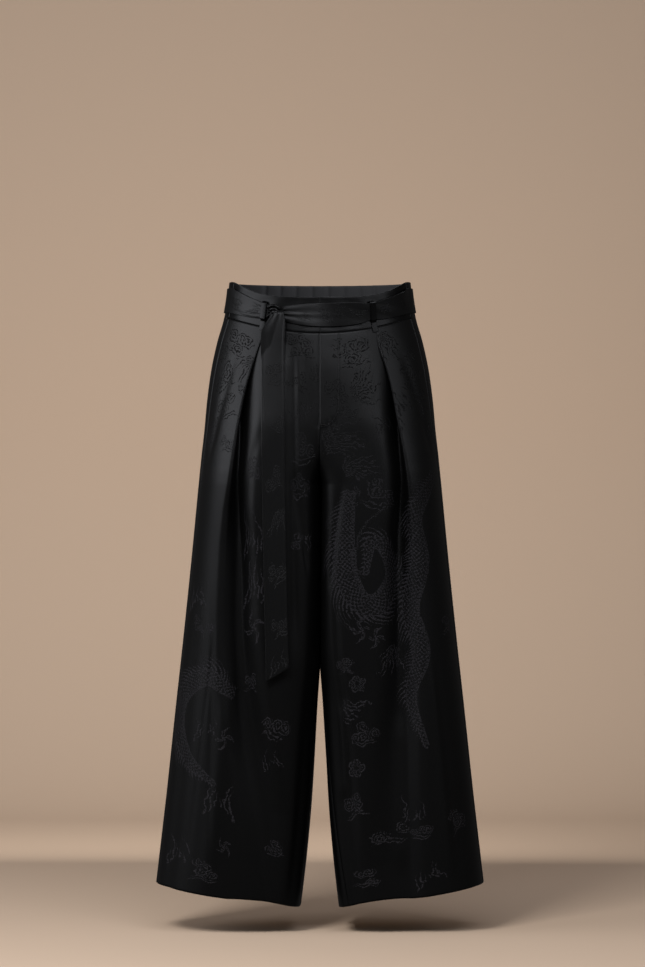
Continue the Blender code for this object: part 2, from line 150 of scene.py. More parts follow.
def add_mesh(name, points, faces, edges=()):
    """A smooth mesh from lists of points and of faces or edges."""
    mesh = bpy.data.meshes.new(name)
    mesh.from_pydata(points, edges, faces)
    mesh.shade_smooth()
    return mesh


print("black as linear light:", [round(channel, 4) for channel in linear("#040404")])

# %% [markdown]
# The photograph looks straight at the trousers from the height of the thighs with a long
# lens: the waist is seen a little from below and the hems a little from above. A camera
# 6.5 m away shows both. Its sensor's 36 mm lie along the picture's long side.

# %% Camera
IMAGE_HEIGHT = 967
METRES_A_PIXEL = 0.00166
CAMERA_DISTANCE = 6.5
CAMERA_HEIGHT = -0.3035
CAMERA_SIDE = 0.0042
SENSOR = 36  # millimetres

camera_data = bpy.data.cameras.new("camera")
camera_data.sensor_width = SENSOR
camera_data.lens = SENSOR * CAMERA_DISTANCE / (IMAGE_HEIGHT * METRES_A_PIXEL)
camera = add_object("camera", camera_data)
camera.location = (CAMERA_SIDE, -CAMERA_DISTANCE, CAMERA_HEIGHT)
camera.rotation_euler = (math.pi / 2, 0, 0)
bpy.context.scene.camera = camera
print("lens:", round(camera_data.lens, 1), "mm")

# %% [markdown]
# The studio is one sheet of warm beige paper that sweeps up 3 m behind the trousers. It is
# clear from behind, so that the back can be looked at too. Black satin shows its folds only
# by what it mirrors, so two large boxes light it, one at its side and one high in front,
# with a weak one opposite. One more is for the floor, one for the paper, and one behind
# lights the cloth alone.

# %% Studio paper
FLOOR = -1.042
PAPER_BEND = 0.9
PAPER_BACK = 3.0
PAPER_FRONT = -0.75  # just out of the picture, so that the satin doesn't mirror it
PAPER_TOP = 5.0
PAPER_HALF_WIDTH = 7


def paper_profile():
    """The paper's floor, bend and wall, as pairs of y and z."""
    rows = [(PAPER_FRONT, FLOOR), (PAPER_BACK - PAPER_BEND, FLOOR)]
    for step in range(1, 13):
        angle = step / 12 * math.pi / 2
        rows.append((PAPER_BACK - PAPER_BEND + PAPER_BEND * math.sin(angle),
                     FLOOR + PAPER_BEND * (1 - math.cos(angle))))
    return rows + [(PAPER_BACK, PAPER_TOP)]


paper_rows = paper_profile()
paper_mesh = add_mesh(
    "studio_paper", [(x, y, z) for y, z in paper_rows for x in (-PAPER_HALF_WIDTH, PAPER_HALF_WIDTH)],
    [(2 * i, 2 * i + 1, 2 * i + 3, 2 * i + 2) for i in range(len(paper_rows) - 1)])
paper = add_object("studio_paper", paper_mesh)
paper_material, paper_tree, paper_shader = principled("matt beige studio paper", "#bfa994", 0.9, 0.2)
paper_mesh.materials.append(paper_material)
see_through = add_node(paper_tree, "ShaderNodeBsdfTransparent")
side_seen = add_node(paper_tree, "ShaderNodeNewGeometry").outputs["Backfacing"]
one_sided = add_node(paper_tree, "ShaderNodeMixShader", [side_seen, paper_shader.outputs[0], see_through.outputs[0]])
paper_tree.links.new(one_sided.outputs[0], paper_tree.nodes["Material Output"].inputs[0])  # clear from behind
paper.visible_glossy = False  # as if black cards stood round the satin, which keep the paper's glow off it
print("paper:", len(paper_rows), "rows")

# %% Soft boxes
COOL = "#f6f8ff"


def soft_box(name, place, target, size, power, tint=COOL):
    """A flat lamp that faces its target and stays out of the picture."""
    data = bpy.data.lights.new(name, "AREA")
    data.shape = "RECTANGLE"
    data.size, data.size_y = size
    data.energy = power
    data.color = linear(tint)[:3]
    box = add_object(name, data)
    box.location = place
    away = np.array(target) - np.array(place)
    flat = math.hypot(away[0], away[1])
    box.rotation_euler = (math.pi / 2 + math.atan2(away[2], flat), 0, math.atan2(-away[0], away[1]))
    box.visible_camera = False
    return box


soft_box("key_box", (-3.3, -1.1, 1.1), (0, 0, -0.3), (3.4, 2.2), 62)
soft_box("top_box", (0.4, -3.0, 2.3), (0, 0, -0.2), (3.4, 1.4), 78)
soft_box("side_box", (2.3, -1.5, 0.8), (0, 0, -0.1), (1.6, 1.0), 7)
floor_box = soft_box("floor_box", (-1.0, -2.2, 1.2), (-0.05, -0.15, -1.04), (0.9, 0.8), 72, "#ffffff")
floor_box.visible_glossy = False  # the satin doesn't mirror it, so it lights mostly the floor
soft_box("paper_box", (-0.15, 1.2, -0.2), (-0.1, 3.0, -0.4), (1.8, 1.2), 10, "#fffaf4")
back_box = soft_box("back_box", (-0.2, 3.4, 3.0), (0, 0, -0.3), (2.6, 1.6), 22)
world = bpy.data.worlds.new("studio")
world.use_nodes = True
world.node_tree.nodes["Background"].inputs["Color"].default_value = linear("#d6d2d0")
world.node_tree.nodes["Background"].inputs["Strength"].default_value = 0.07
bpy.context.scene.world = world
bpy.context.scene.view_settings.view_transform = "Standard"

# %% [markdown]
# Everything is drawn from the sizes that the solids use. A drop is a distance below the
# waist's top edge, and an angle goes round the waist or a leg: 0 outside, positive in front.
# Short tables hold the garment's width, depth and split at each drop, and one function
# reads any column of them on a smooth curve.

# %% Sizes
BAND_HEIGHT = 0.059
BAND_TOP = BAND_HEIGHT / 2
WAIST_DIP = 0.028
DIP_ENDS = 0.200
CROTCH_DROP = 0.335
HEM_DROP = 1.030
HEM_RISE = 0.037
PANEL_CLOTH = 0.0010
SASH_GAP = 0.0009

Level = namedtuple("Level", "drop half_width front back split gap power")
LEVELS = [
    Level(0.000, 0.1505, 0.106, 0.106, 0.00, 0.0000, 2.00),
    Level(0.030, 0.1540, 0.107, 0.108, 0.00, 0.0000, 2.00),
    Level(0.060, 0.1595, 0.110, 0.113, 0.00, 0.0000, 2.00),
    Level(0.100, 0.1710, 0.116, 0.122, 0.00, 0.0000, 2.05),
    Level(0.150, 0.1815, 0.122, 0.133, 0.08, 0.0000, 2.10),
    Level(0.200, 0.1880, 0.125, 0.138, 0.26, 0.0000, 2.15),
    Level(0.245, 0.1920, 0.127, 0.140, 0.52, 0.0000, 2.20),
    Level(0.265, 0.1942, 0.127, 0.140, 0.66, 0.0000, 2.22),
    Level(0.285, 0.1965, 0.127, 0.139, 0.79, 0.0000, 2.25),
    Level(0.300, 0.1980, 0.127, 0.139, 0.88, 0.0000, 2.27),
    Level(0.315, 0.1995, 0.127, 0.138, 0.95, 0.0000, 2.30),
    Level(0.325, 0.2005, 0.127, 0.137, 0.982, 0.0000, 2.30),
    Level(0.335, 0.2015, 0.127, 0.137, 1.00, 0.0006, 2.30),
    Level(0.450, 0.2125, 0.124, 0.131, 1.00, 0.0004, 2.30),
    Level(0.600, 0.2280, 0.119, 0.122, 1.00, 0.0005, 2.30),
    Level(0.700, 0.2390, 0.115, 0.116, 1.00, 0.0058, 2.30),
    Level(0.850, 0.2550, 0.111, 0.109, 1.00, 0.0140, 2.25),
    Level(0.940, 0.2655, 0.109, 0.106, 1.00, 0.0215, 2.20),
    Level(1.030, 0.2760, 0.107, 0.103, 1.00, 0.0315, 2.20),
]
Seam = namedtuple("Seam", "drop side turn_right turn_left")
SEAMS = [
    Seam(0.000, 20, 0, 0),
    Seam(0.335, 17, 0, 0),
    Seam(0.654, 14, 20, 19),
    Seam(1.030, 11, 10, 40),
]
Pleat = namedtuple("Pleat", "drop fold_right fold_left turn radius between hollow")
PLEATS = [
    Pleat(0.080, 0.0920, 0.0930, 180, 0.0011, 0.034, 0.065),
    Pleat(0.106, 0.1000, 0.0965, 178, 0.0013, 0.033, 0.065),
    Pleat(0.141, 0.1110, 0.1080, 171, 0.0018, 0.030, 0.065),
    Pleat(0.179, 0.1220, 0.1180, 158, 0.0024, 0.026, 0.065),
    Pleat(0.226, 0.1320, 0.1270, 142, 0.0032, 0.021, 0.062),
    Pleat(0.266, 0.1385, 0.1350, 128, 0.0040, 0.018, 0.058),
    Pleat(0.327, 0.1465, 0.1445, 112, 0.0056, 0.015, 0.054),
    Pleat(0.385, 0.1530, 0.1500, 88, 0.0095, 0.015, 0.044),
    Pleat(0.443, 0.1550, 0.1525, 62, 0.0145, 0.017, 0.040),
    Pleat(0.540, 0.1540, 0.1550, 48, 0.0195, 0.019, 0.040),
    Pleat(0.654, 0.1460, 0.1540, 42, 0.0240, 0.018, 0.046),
    Pleat(0.760, 0.1310, 0.1500, 37, 0.0280, 0.017, 0.056),
    Pleat(0.880, 0.1060, 0.1460, 29, 0.0330, 0.016, 0.070),
    Pleat(1.030, 0.0800, 0.1430, 20, 0.0400, 0.016, 0.085),
]


# %% Smooth curves through the tables
def smooth(value):
    value = np.clip(value, 0.0, 1.0)
    return value * value * (3 - 2 * value)


def bell(value):
    """A soft bump: 1 in its middle, a third one width away and nothing further out."""
    return np.exp(-(value**2))


def read_table(table, column, drop):
    """A column's value at one drop or an array of them."""
    at = np.array([row.drop for row in table])
    values = np.array([getattr(row, column) for row in table], float)
    slopes = np.diff(values) / np.diff(at)
    product = slopes[1:] * slopes[:-1]
    total = np.where(product > 0, slopes[1:] + slopes[:-1], 1.0)
    tangents = np.concatenate((slopes[:1], np.where(product > 0, 2 * product / total, 0.0), slopes[-1:]))
    drop = np.clip(drop, at[0], at[-1])
    index = np.clip(np.searchsorted(at, drop, side="right") - 1, 0, len(at) - 2)
    span = at[index + 1] - at[index]
    t = (drop - at[index]) / span
    start = values[index] * (2 * t**3 - 3 * t**2 + 1)
    end = values[index + 1] * (3 * t**2 - 2 * t**3)
    bend = tangents[index] * (t**3 - 2 * t**2 + t) + tangents[index + 1] * (t**3 - t**2)
    return start + end + span * bend


def drop_at(nominal, angle):
    """A row's drop at an angle: rows dip in front at the waist and rise outside at the hem."""
    forward = np.maximum(0.0, np.sin(angle))
    at_seam = smooth(nominal / BAND_HEIGHT)  # the band's seam dips less suddenly than its top edge
    dip = WAIST_DIP * (smooth((forward - 0.25) / 0.75) * (1 - at_seam) + forward**2.5 * at_seam)
    rise = HEM_RISE * (1 + np.cos(angle)) / 2
    dip_share = 1 - smooth((nominal - BAND_HEIGHT - 0.001) / (DIP_ENDS - BAND_HEIGHT))
    rise_share = smooth((nominal - CROTCH_DROP) / (HEM_DROP - CROTCH_DROP))
    return nominal + dip * dip_share - rise * rise_share


def leg_power(beside, drop, side):
    """How square the outline is: each leg is squarer on the side that lies against the other."""
    fuller = 3.2 * smooth((drop - 0.10) / 0.08) - 0.6 * smooth((drop - 0.29) / 0.10) - smooth((drop - 0.50) / 0.30)
    fuller = fuller * np.where(side > 0, 1 + 0.5 * smooth((drop - 0.20) / 0.15), 1.0)  # the left leg lies in front
    return read_table(LEVELS, "power", drop) + np.where(beside < 0, fuller, 0.0)


def ring(side, angle, drop, inwards=0.0):
    """Points of the garment's outline, as an array of x, y and z."""
    half_width = read_table(LEVELS, "half_width", drop)
    power = leg_power(np.cos(angle), drop, side)
    front = read_table(LEVELS, "front", drop)
    back = read_table(LEVELS, "back", drop)
    wide = (half_width - read_table(LEVELS, "gap", drop)) / (1 + read_table(LEVELS, "split", drop))
    deep = (front + back) / 2
    across = np.sign(np.cos(angle)) * np.abs(np.cos(angle)) ** (2 / power)
    forward = np.sign(np.sin(angle)) * np.abs(np.sin(angle)) ** (2 / power)
    x = half_width - wide + (wide - inwards) * across
    y = (back - front) / 2 - (deep - inwards) * forward
    return np.stack([side * x, y, BAND_TOP - drop + 0 * x], axis=-1)


print("waist:", np.round(2 * np.abs(ring(1, np.array([0, math.pi / 2]), np.array([0.0, 0.0]))).max(0), 3))

# %% [markdown]
# Cloth hangs in folds that no rule gives, so they are listed one by one: each has a side, a
# course round the leg from one height to another, a width and a depth. The wide ones are in
# the solids too. The narrow ones, added here, are the creases that make it read as cloth.

# %% Folds and creases
Fold = namedtuple("Fold", "side angle_top angle_hem starts full width depth")
FOLDS = [
    Fold(-1, 148, 140, 0.42, 0.95, 13, 0.006),
    Fold(1, 136, 126, 0.45, 0.90, 14, 0.006),
    Fold(-1, 40, 36, 0.40, 0.80, 10, 0.003),
    Fold(-1, -52, -46, 0.16, 0.60, 12, 0.010),
    Fold(1, -47, -50, 0.18, 0.70, 13, 0.009),
    Fold(-1, -106, -98, 0.30, 0.75, 12, 0.011),
    Fold(1, -100, -103, 0.28, 0.80, 12, 0.012),
    Fold(-1, -146, -138, 0.50, 0.98, 12, 0.007),
    Fold(1, -142, -144, 0.48, 0.92, 12, 0.006),
]
Line = namedtuple("Line", "side drop_top top drop_foot foot width depth")
CREASES = [  # placed by their angle round the leg, in degrees
    Line(-1, 0.52, 62, 1.00, 54, 1.6, 0.0010),
    Line(1, 0.45, 118, 0.95, 112, 5.0, 0.0030),
    Line(1, 0.55, 60, 1.03, 58, 5.0, -0.0030),
    Line(-1, 0.20, 78, 0.60, 88, 4.0, 0.0020),
    Line(-1, 0.60, 78, 1.03, 74, 6.0, -0.0030),
    Line(1, 0.30, 100, 0.52, 128, 5.0, 0.0030),
    Line(-1, 0.30, 102, 0.50, 132, 5.0, 0.0030),
    Line(1, 0.10, 42, 0.30, 30, 4.0, 0.0015),
    Line(-1, 0.10, 40, 0.32, 32, 4.0, 0.0018),
]
PRESSES = [  # on the fronts, placed by their distance from the centre, as the photograph shows it
    Line(-1, 0.075, 0.0460, 0.640, 0.0385, 0.0080, 0.0052),
    Line(-1, 0.500, 0.1760, 1.000, 0.1800, 0.0040, 0.0010),
    Line(1, 0.700, 0.1300, 0.980, 0.1340, 0.0110, -0.0030),
    Line(1, 0.680, 0.0400, 0.860, 0.0380, 0.0090, -0.0022),
    Line(1, 0.228, 0.0100, 0.262, 0.0260, 0.0022, 0.0008),
    Line(1, 0.222, 0.0160, 0.244, 0.0300, 0.0020, 0.0006),
    Line(-1, 0.110, 0.0250, 0.300, 0.0200, 0.0100, 0.0014),
]
CREASE_FADE = 0.3  # the share of a line's length over which it fades at each end
PRESS_FADE = 0.2


def line_depth(lines, side, places, drop, fade):
    """How far a list of lines pushes the cloth in, at places measured as theirs are."""
    depth = np.zeros(np.broadcast(places, drop).shape)
    for line in (item for item in lines if item.side == side):
        share = (drop - line.drop_top) / (line.drop_foot - line.drop_top)
        ends = smooth(share / fade) * smooth((1 - share) / fade)
        middle = line.top + (line.foot - line.top) * np.clip(share, 0, 1)
        away = (places - middle + 180) % 360 - 180  # the short way round; a distance stays as it is
        depth += line.depth * ends * bell(away / line.width)
    return depth


def fold_depth(side, angle, drop):
    """How far folds and creases push the cloth in."""
    degrees = np.degrees(angle)
    depth = line_depth(CREASES, side, degrees, drop, CREASE_FADE)
    for fold in (item for item in FOLDS if item.side == side):
        share = smooth((drop - fold.starts) / (fold.full - fold.starts))
        middle = fold.angle_top + (fold.angle_hem - fold.angle_top) * drop / HEM_DROP
        away = (degrees - middle + 180) % 360 - 180
        depth += fold.depth * share * bell(away / fold.width)
    return depth


deepest = max(float(fold_depth(side, np.radians(np.arange(360)), 0.9).max()) for side in (-1, 1))
print("deepest fold 0.9 m down:", round(deepest, 4))

# %% [markdown]
# A row of cloth runs from a panel's inner seam to its side seam. It is measured along the
# cloth, so that a pleat can take up so many millimetres and the woven pattern keeps its
# size. Above the crotch the two sides meet in the middle and turn in there, by the seam's
# allowance at the waist and by more and more lower down, as the crotch curve runs back.

# %% Rows of cloth
SEAM_GAP = 0.00002
ALLOWANCE = 0.006
CROTCH_CURVE = 0.050  # the height over which the crotch curve runs back
MIDDLE = (PANEL_CLOTH + SEAM_GAP) / 2
CORNER_STEPS = 60  # from the inner seam to the corner where a row turns outwards
SIDE_STEPS = 220  # from there to the side seam


def middle_angle(nominal, front):
    """The angle at which a row above the crotch reaches the middle."""
    angles = (1 if front else -1) * np.linspace(math.pi / 2 - 0.3, math.pi, 700)
    across = ring(1, angles, drop_at(nominal, angles), PANEL_CLOTH / 2)[:, 0]
    return float(np.interp(MIDDLE, across[::-1], angles[::-1]))


class Row:
    def __init__(self, side, nominal, front):
        sign = 1 if front else -1
        turn = math.radians(read_table(SEAMS, "turn_left" if side > 0 else "turn_right", nominal))
        last = math.radians(read_table(SEAMS, "side", nominal))
        meets = sign * math.pi if nominal >= CROTCH_DROP else middle_angle(nominal, front)
        corner = sign * min(abs(meets), math.pi - 0.40 - (turn if front else 0.0))
        first = sign * math.pi - turn
        self.side = side
        self.angles = np.concatenate((np.linspace(first, corner, CORNER_STEPS, endpoint=False),
                                      np.linspace(corner, last, SIDE_STEPS + 1)))
        level = sign * np.minimum(np.abs(self.angles), abs(meets)) if nominal < CROTCH_DROP else self.angles
        level = np.where(self.angles * sign < 0, self.angles, level)
        self.points = ring(side, self.angles, drop_at(nominal, level), PANEL_CLOTH / 2)
        if nominal < CROTCH_DROP:
            self.points[:, 0] = side * np.maximum(side * self.points[:, 0], MIDDLE)
        lengths = np.linalg.norm(np.diff(self.points, axis=0), axis=1)
        self.along = np.concatenate(([0.0], np.cumsum(lengths)))
        self.length = self.along[-1]
        ahead = np.gradient(self.points, axis=0)
        out = np.stack([ahead[:, 1], -ahead[:, 0]], axis=1) * (1 if (side > 0) == front else -1)
        self.out = out / np.linalg.norm(out, axis=1)[:, None]
        self.corner = float(self.along[CORNER_STEPS])
        self.start = SEAM_GAP / 2
        self.seam = self.start
        if nominal < CROTCH_DROP:
            self.start += (self.corner - ALLOWANCE) * float(smooth((CROTCH_DROP - nominal) / CROTCH_CURVE))
            self.seam = self.corner
        self.end = self.length - SEAM_GAP / 2

    def at(self, along, values):
        return np.interp(along, self.along, values)

    def point(self, along, inwards):
        out = np.stack([self.at(along, self.out[:, k]) for k in (0, 1)], axis=-1)
        places = np.stack([self.at(along, self.points[:, k]) for k in (0, 1, 2)], axis=-1)
        places[..., :2] -= out * np.asarray(inwards)[..., None]
        return places

    def along_at_x(self, x):
        offset = self.points[:, 0] * self.side
        lowest = int(np.argmin(offset))
        return float(np.interp(x, offset[lowest:], self.along[lowest:]))

    def turned_in(self):
        """The places of the columns between the seam's edge and the row's corner."""
        return self.start + (self.corner - self.start) * np.arange(WALL_STEPS) / WALL_STEPS


# %% [markdown]
# Each front has one deep pleat. Its path goes out under the outer part, doubles back to the
# fold edge and goes on to the side seam: an arc, a straight and an arc. At the waist they
# turn through half a circle, and lower down through less, so the fold opens into a valley.


# %% Pleated rows
WALL_STEPS = 12
INNER_STEPS = 54
BEND_STEPS = 10
BETWEEN_STEPS = 7
FOLD_STEPS = 10
OUTER_STEPS = 42


def pleat_path(row):
    """The front's path, as distances along the outline and in from it."""
    drop = BAND_TOP - float(row.at(row.along_at_x(0.12), row.points[:, 2]))
    fold = row.along_at_x(read_table(PLEATS, "fold_left" if row.side > 0 else "fold_right", drop))
    turn = math.radians(read_table(PLEATS, "turn", drop))
    radius = float(read_table(PLEATS, "radius", drop))
    between = float(read_table(PLEATS, "between", drop))
    recess = 2 * radius * (1 - math.cos(turn)) + between * math.sin(turn)
    end = fold + radius
    start = end - 2 * radius * math.sin(turn) - between * math.cos(turn)
    share = np.arange(INNER_STEPS) / INNER_STEPS
    first = np.concatenate((row.turned_in(), row.corner + (start - row.corner) * share * (0.7 + 0.3 * share)))
    hollow = min(float(read_table(PLEATS, "hollow", drop)), 0.95 * (start - row.corner))
    rise = recess * smooth(np.clip((first - start + hollow) / hollow, 0, 1) ** 1.3)
    angle = turn * np.arange(BEND_STEPS + 1) / BEND_STEPS
    bend_in = (start + radius * np.sin(angle), recess - radius * (1 - np.cos(angle)))
    angle = turn * np.arange(FOLD_STEPS, -1, -1) / FOLD_STEPS
    bend_back = (end - radius * np.sin(angle), radius * (1 - np.cos(angle)))
    share = np.arange(1, BETWEEN_STEPS) / BETWEEN_STEPS
    straight = [a[-1] + (b[0] - a[-1]) * share for a, b in zip(bend_in, bend_back)]
    last = end + (row.end - end) * np.arange(1, OUTER_STEPS + 1) / OUTER_STEPS
    along = np.concatenate((first, bend_in[0], straight[0], bend_back[0], last))
    inwards = np.concatenate((rise, bend_in[1], straight[1], bend_back[1], 0 * last))
    return along, inwards


# %% [markdown]
# Cloth turns in where it is sewn, which draws a fine groove along each seam. The wearer's
# left front laps over the right one at the fly, so it stands a millimetre proud as far as
# the curved line of stitching that holds the facing.

# %% Seams and fly
SEAM_ROLL = 0.0030
SEAM_DEPTH = 0.0010
FLY_WIDTH = 0.0315
FLY_STRAIGHT = 0.2035  # the drop at which its stitching starts to curve
FLY_END = 0.2405
FLY_LIFT = 0.0010


def fly_width(drop):
    """Distance from the centre front to the fly's curved stitching."""
    past = np.clip((drop - FLY_STRAIGHT) / (FLY_END - FLY_STRAIGHT), 0, 1)
    return FLY_WIDTH * np.sqrt(1 - past**2)


def sewn_depth(row, nominal, along, front):
    """How far seams and the fly move a row's cloth in."""
    facing = row.at(along, row.out[:, 1]) ** 2
    inner = 1 - smooth(np.abs(along - row.seam) / SEAM_ROLL)
    outer = 1 - smooth((row.end - along) / SEAM_ROLL)
    depth = SEAM_DEPTH * (inner * facing + outer)
    if front and nominal < FLY_END:
        from_seam = along - row.seam
        if row.side > 0:
            depth -= SEAM_DEPTH * inner * facing
            depth -= FLY_LIFT * smooth((fly_width(nominal) - from_seam) / 0.0022) * np.where(from_seam < 0, 0.5, 1.0)
        else:
            depth += 0.0006 * (1 - smooth(from_seam / 0.010)) * facing
    return depth


# %% [markdown]
# The elastic in the back waistband draws the back panels up into eight gathers, deep at the
# band and gone a hand's width below it.

# %% Panel grids
ROW_STEPS = 290
ROW_DROPS = BAND_HEIGHT + (HEM_DROP - BAND_HEIGHT) * np.linspace(0, 1, ROW_STEPS)
ROW_DROPS = np.sort(np.append(ROW_DROPS, CROTCH_DROP))
BACK_STEPS = 104
GATHER_PITCH = 0.028
GATHERS_EACH_SIDE = 4
GATHER_DEPTH = 0.0028
GATHER_FADE = 0.110
GATHERED_SPAN = 0.185  # the back panel's width at the band
LEG_WAVE = 0.0022  # the two legs lie against each other along a wavy line


def gather_depth(distance, drop):
    """How far the elastic's gathers push the cloth in, at a distance from the centre back."""
    fade = 1 - smooth((drop - BAND_HEIGHT) / GATHER_FADE)
    from_valley = np.mod(distance / GATHER_PITCH, 1.0) - 0.5
    wave = 0.75 * bell(from_valley / 0.13) + 0.25 * (1 - np.cos(2 * np.pi * distance / GATHER_PITCH)) / 2
    return np.where(distance < GATHER_PITCH * GATHERS_EACH_SIDE, GATHER_DEPTH * fade * wave, 0.0)


def panel_points(side, front):
    """A panel's grid of points, from its inner seam to its side seam in each row."""
    rows = []
    for nominal in ROW_DROPS:
        row = Row(side, nominal, front)
        if front:
            along, inwards = pleat_path(row)
        else:
            share = np.linspace(0, 1, BACK_STEPS)
            along = np.concatenate((row.turned_in(), row.corner + (row.end - row.corner) * share))
            share = np.concatenate((np.zeros(WALL_STEPS), share))
            inwards = 0 * along
        drop = BAND_TOP - row.at(along, row.points[:, 2])
        depth = inwards + fold_depth(side, row.at(along, row.angles), drop)
        if front:
            depth += line_depth(PRESSES, side, side * row.at(along, row.points[:, 0]), drop, PRESS_FADE)
        else:
            depth += gather_depth(GATHERED_SPAN * share, drop)
        rows.append(row.point(along, depth + sewn_depth(row, nominal, along, front)))
    points = np.array(rows)
    close = np.exp(-np.abs(points[..., 0]) / 0.030) * smooth((BAND_TOP - points[..., 2] - 0.25) / 0.06)
    points[..., 0] += LEG_WAVE * np.sin(points[..., 1] * 42 + points[..., 2] * 6) * close
    return points


# %% [markdown]
# A grid of points becomes a mesh with a map of the flat cloth: how far each point lies
# across and down the cloth, in metres, from a line of its warp. The woven pattern is drawn
# on this map, so it keeps its scale over every fold and goes on into the pleat.


# %% From rows to sheets
def distances(points):
    """Distance along each row of a grid, from its first point."""
    steps = np.linalg.norm(np.diff(points, axis=1), axis=2)
    return np.concatenate((np.zeros((len(points), 1)), np.cumsum(steps, axis=1)), axis=1)


def cloth_map(points, columns=None):
    """Distances across and down the flat cloth; columns gives the warp line's place in each row."""
    across = distances(points)
    if columns is None:
        columns = np.full(len(points), (points.shape[1] - 1) / 2)
    index = np.arange(points.shape[1])
    line = np.array([[np.interp(c, index, row[:, k]) for k in (0, 1, 2)] for c, row in zip(columns, points)])
    middle = np.array([np.interp(c, index, row) for c, row in zip(columns, across)])
    down = np.concatenate(([0.0], np.cumsum(np.linalg.norm(np.diff(line, axis=0), axis=1))))
    return np.stack([across - middle[:, None], np.repeat(-down[:, None], points.shape[1], axis=1)], axis=-1)


WARP_TOP = 0.045  # metres from the centre at the waist's top edge
WARP_SLANT = 0.06  # outwards for each metre down


def warp_line(points):
    """Where a straight thread crosses each row of a panel, as it hangs down the middle of the leg."""
    places = []
    for row in points:
        reach = np.abs(row[:WALL_STEPS + INNER_STEPS, 0])
        lowest = int(np.argmin(reach))
        wanted = WARP_TOP + WARP_SLANT * (BAND_TOP - row[0, 2])
        places.append(np.interp(wanted, reach[lowest:], np.arange(lowest, len(reach))))
    return np.array(places)


def cloth_sheet(name, points, material, thickness, flip=False, flat=None, edge=0.0, reverse=None):
    """A sheet of cloth through a grid of points, with its flat map, its thickness and its wrong side."""
    rows, columns = points.shape[:2]
    corner = (np.arange(rows - 1)[:, None] * columns + np.arange(columns - 1)[None, :]).ravel()
    faces = np.stack([corner, corner + columns, corner + columns + 1, corner + 1], axis=1)
    if flip:
        faces = faces[:, ::-1]
    mesh = add_mesh(name, points.reshape(-1, 3).tolist(), faces.tolist())
    flat = cloth_map(points) if flat is None else flat
    layer = mesh.uv_layers.new(name="cloth")
    layer.data.foreach_set("uv", flat.reshape(-1, 2)[faces.ravel()].ravel().astype(np.float32))
    mesh.materials.append(material)
    piece = add_object(name, mesh)
    wall = piece.modifiers.new("cloth", "SOLIDIFY")
    wall.thickness = thickness
    wall.offset = 0
    if reverse:
        mesh.materials.append(reverse)
        wall.material_offset = 1
    if edge:
        rounded = piece.modifiers.new("turned edge", "BEVEL")
        rounded.width = edge
        rounded.segments = 3
        rounded.limit_method = "ANGLE"
        rounded.angle_limit = math.radians(50)
    print(name, "cut", [round(value, 4) for value in cut_size(points)])
    return piece


def cut_size(points):
    """The widest row, the length and the area of the flat cloth that a grid stands for."""
    width = float(distances(points)[:, -1].max())
    length = float(np.linalg.norm(np.diff(points, axis=0), axis=2).sum(axis=0).max())
    one, two = points[1:, 1:] - points[:-1, :-1], points[1:, :-1] - points[:-1, 1:]
    return width, length, float(np.linalg.norm(np.cross(one, two), axis=2).sum() / 2)


# %% [markdown]
# The cloth is a silk-like satin jacquard: the ground is warp-faced satin, nearly black and
# smooth, so it mirrors the lamps in soft streaks. The figures are woven in the weft, which
# scatters light. Where the ground shines the figures look darker, and in the shade they look
# lighter, as on the real cloth. On top of that the figures' colour is painted darker near the
# waist, where the ground shines, and lighter lower down: painted shade. The figures are the
# usual ones of such cloth: a scaled dragon's body with a fringe of fins, curling clouds,
# flames, manes, blossoms and claws.
# They lie about where the photograph shows them, and none is traced: each is drawn by a
# formula on the flat map.

# %% Figures of the weave
SCALE_PITCH = 7.6  # millimetres across the dragon's body; its rows lie half as far apart
SCALE_HOLE = 0.31  # of that pitch
PLATE_PITCH = 5.5
HAIR_PITCH = 7.0
HAIR_LENGTH = 36.0
OUTLINE = 1.1  # half a drawn line, in millimetres; the real one is a few threads
CURLS = 1.55  # curls of a cloud from its middle to its edge


def dragon_lines(a, b, w):
    """Scales, belly plates, outline and fins, from millimetres along and off the body's middle."""
    off = abs(b)
    body = clamped((w - off) * 1.4)
    rows = a * (2 / SCALE_PITCH)
    up = (fraction(rows) - 0.5) * 0.5
    sideways = fraction(floor(rows) * 0.5 + b / SCALE_PITCH) - 0.5
    scale = (root(up * up + sideways * sideways) > SCALE_HOLE) * 0.85 + 0.08
    plate = (fraction(a / PLATE_PITCH) > 0.35) * 0.55 + 0.25
    belly = b < w * -0.62
    fill = scale * (1.0 - belly) + plate * belly
    outline = larger(1.0 - abs(off - w) * (1 / OUTLINE), 0.0)
    out = b - w
    swing = out * out * -0.020 + (out * -0.55 + a)
    strand = abs(fraction(swing / HAIR_PITCH) - 0.5)
    tuft = sine(swing * 0.105) * 0.30 + 0.70
    length = smaller(w * 1.9, HAIR_LENGTH) * tuft
    taper = (1.0 - out / larger(length, 0.1)) * 0.32
    hair = (strand < taper) * (out > 0.0)
    return larger(larger(fill * body, outline), hair) * (w > 1.0)


def chance(n, number):
    """A steady pick from 0 to 1 for each strand of each figure."""
    return fraction(sine(n * 12.9 + number * 3.7) * 43.7)


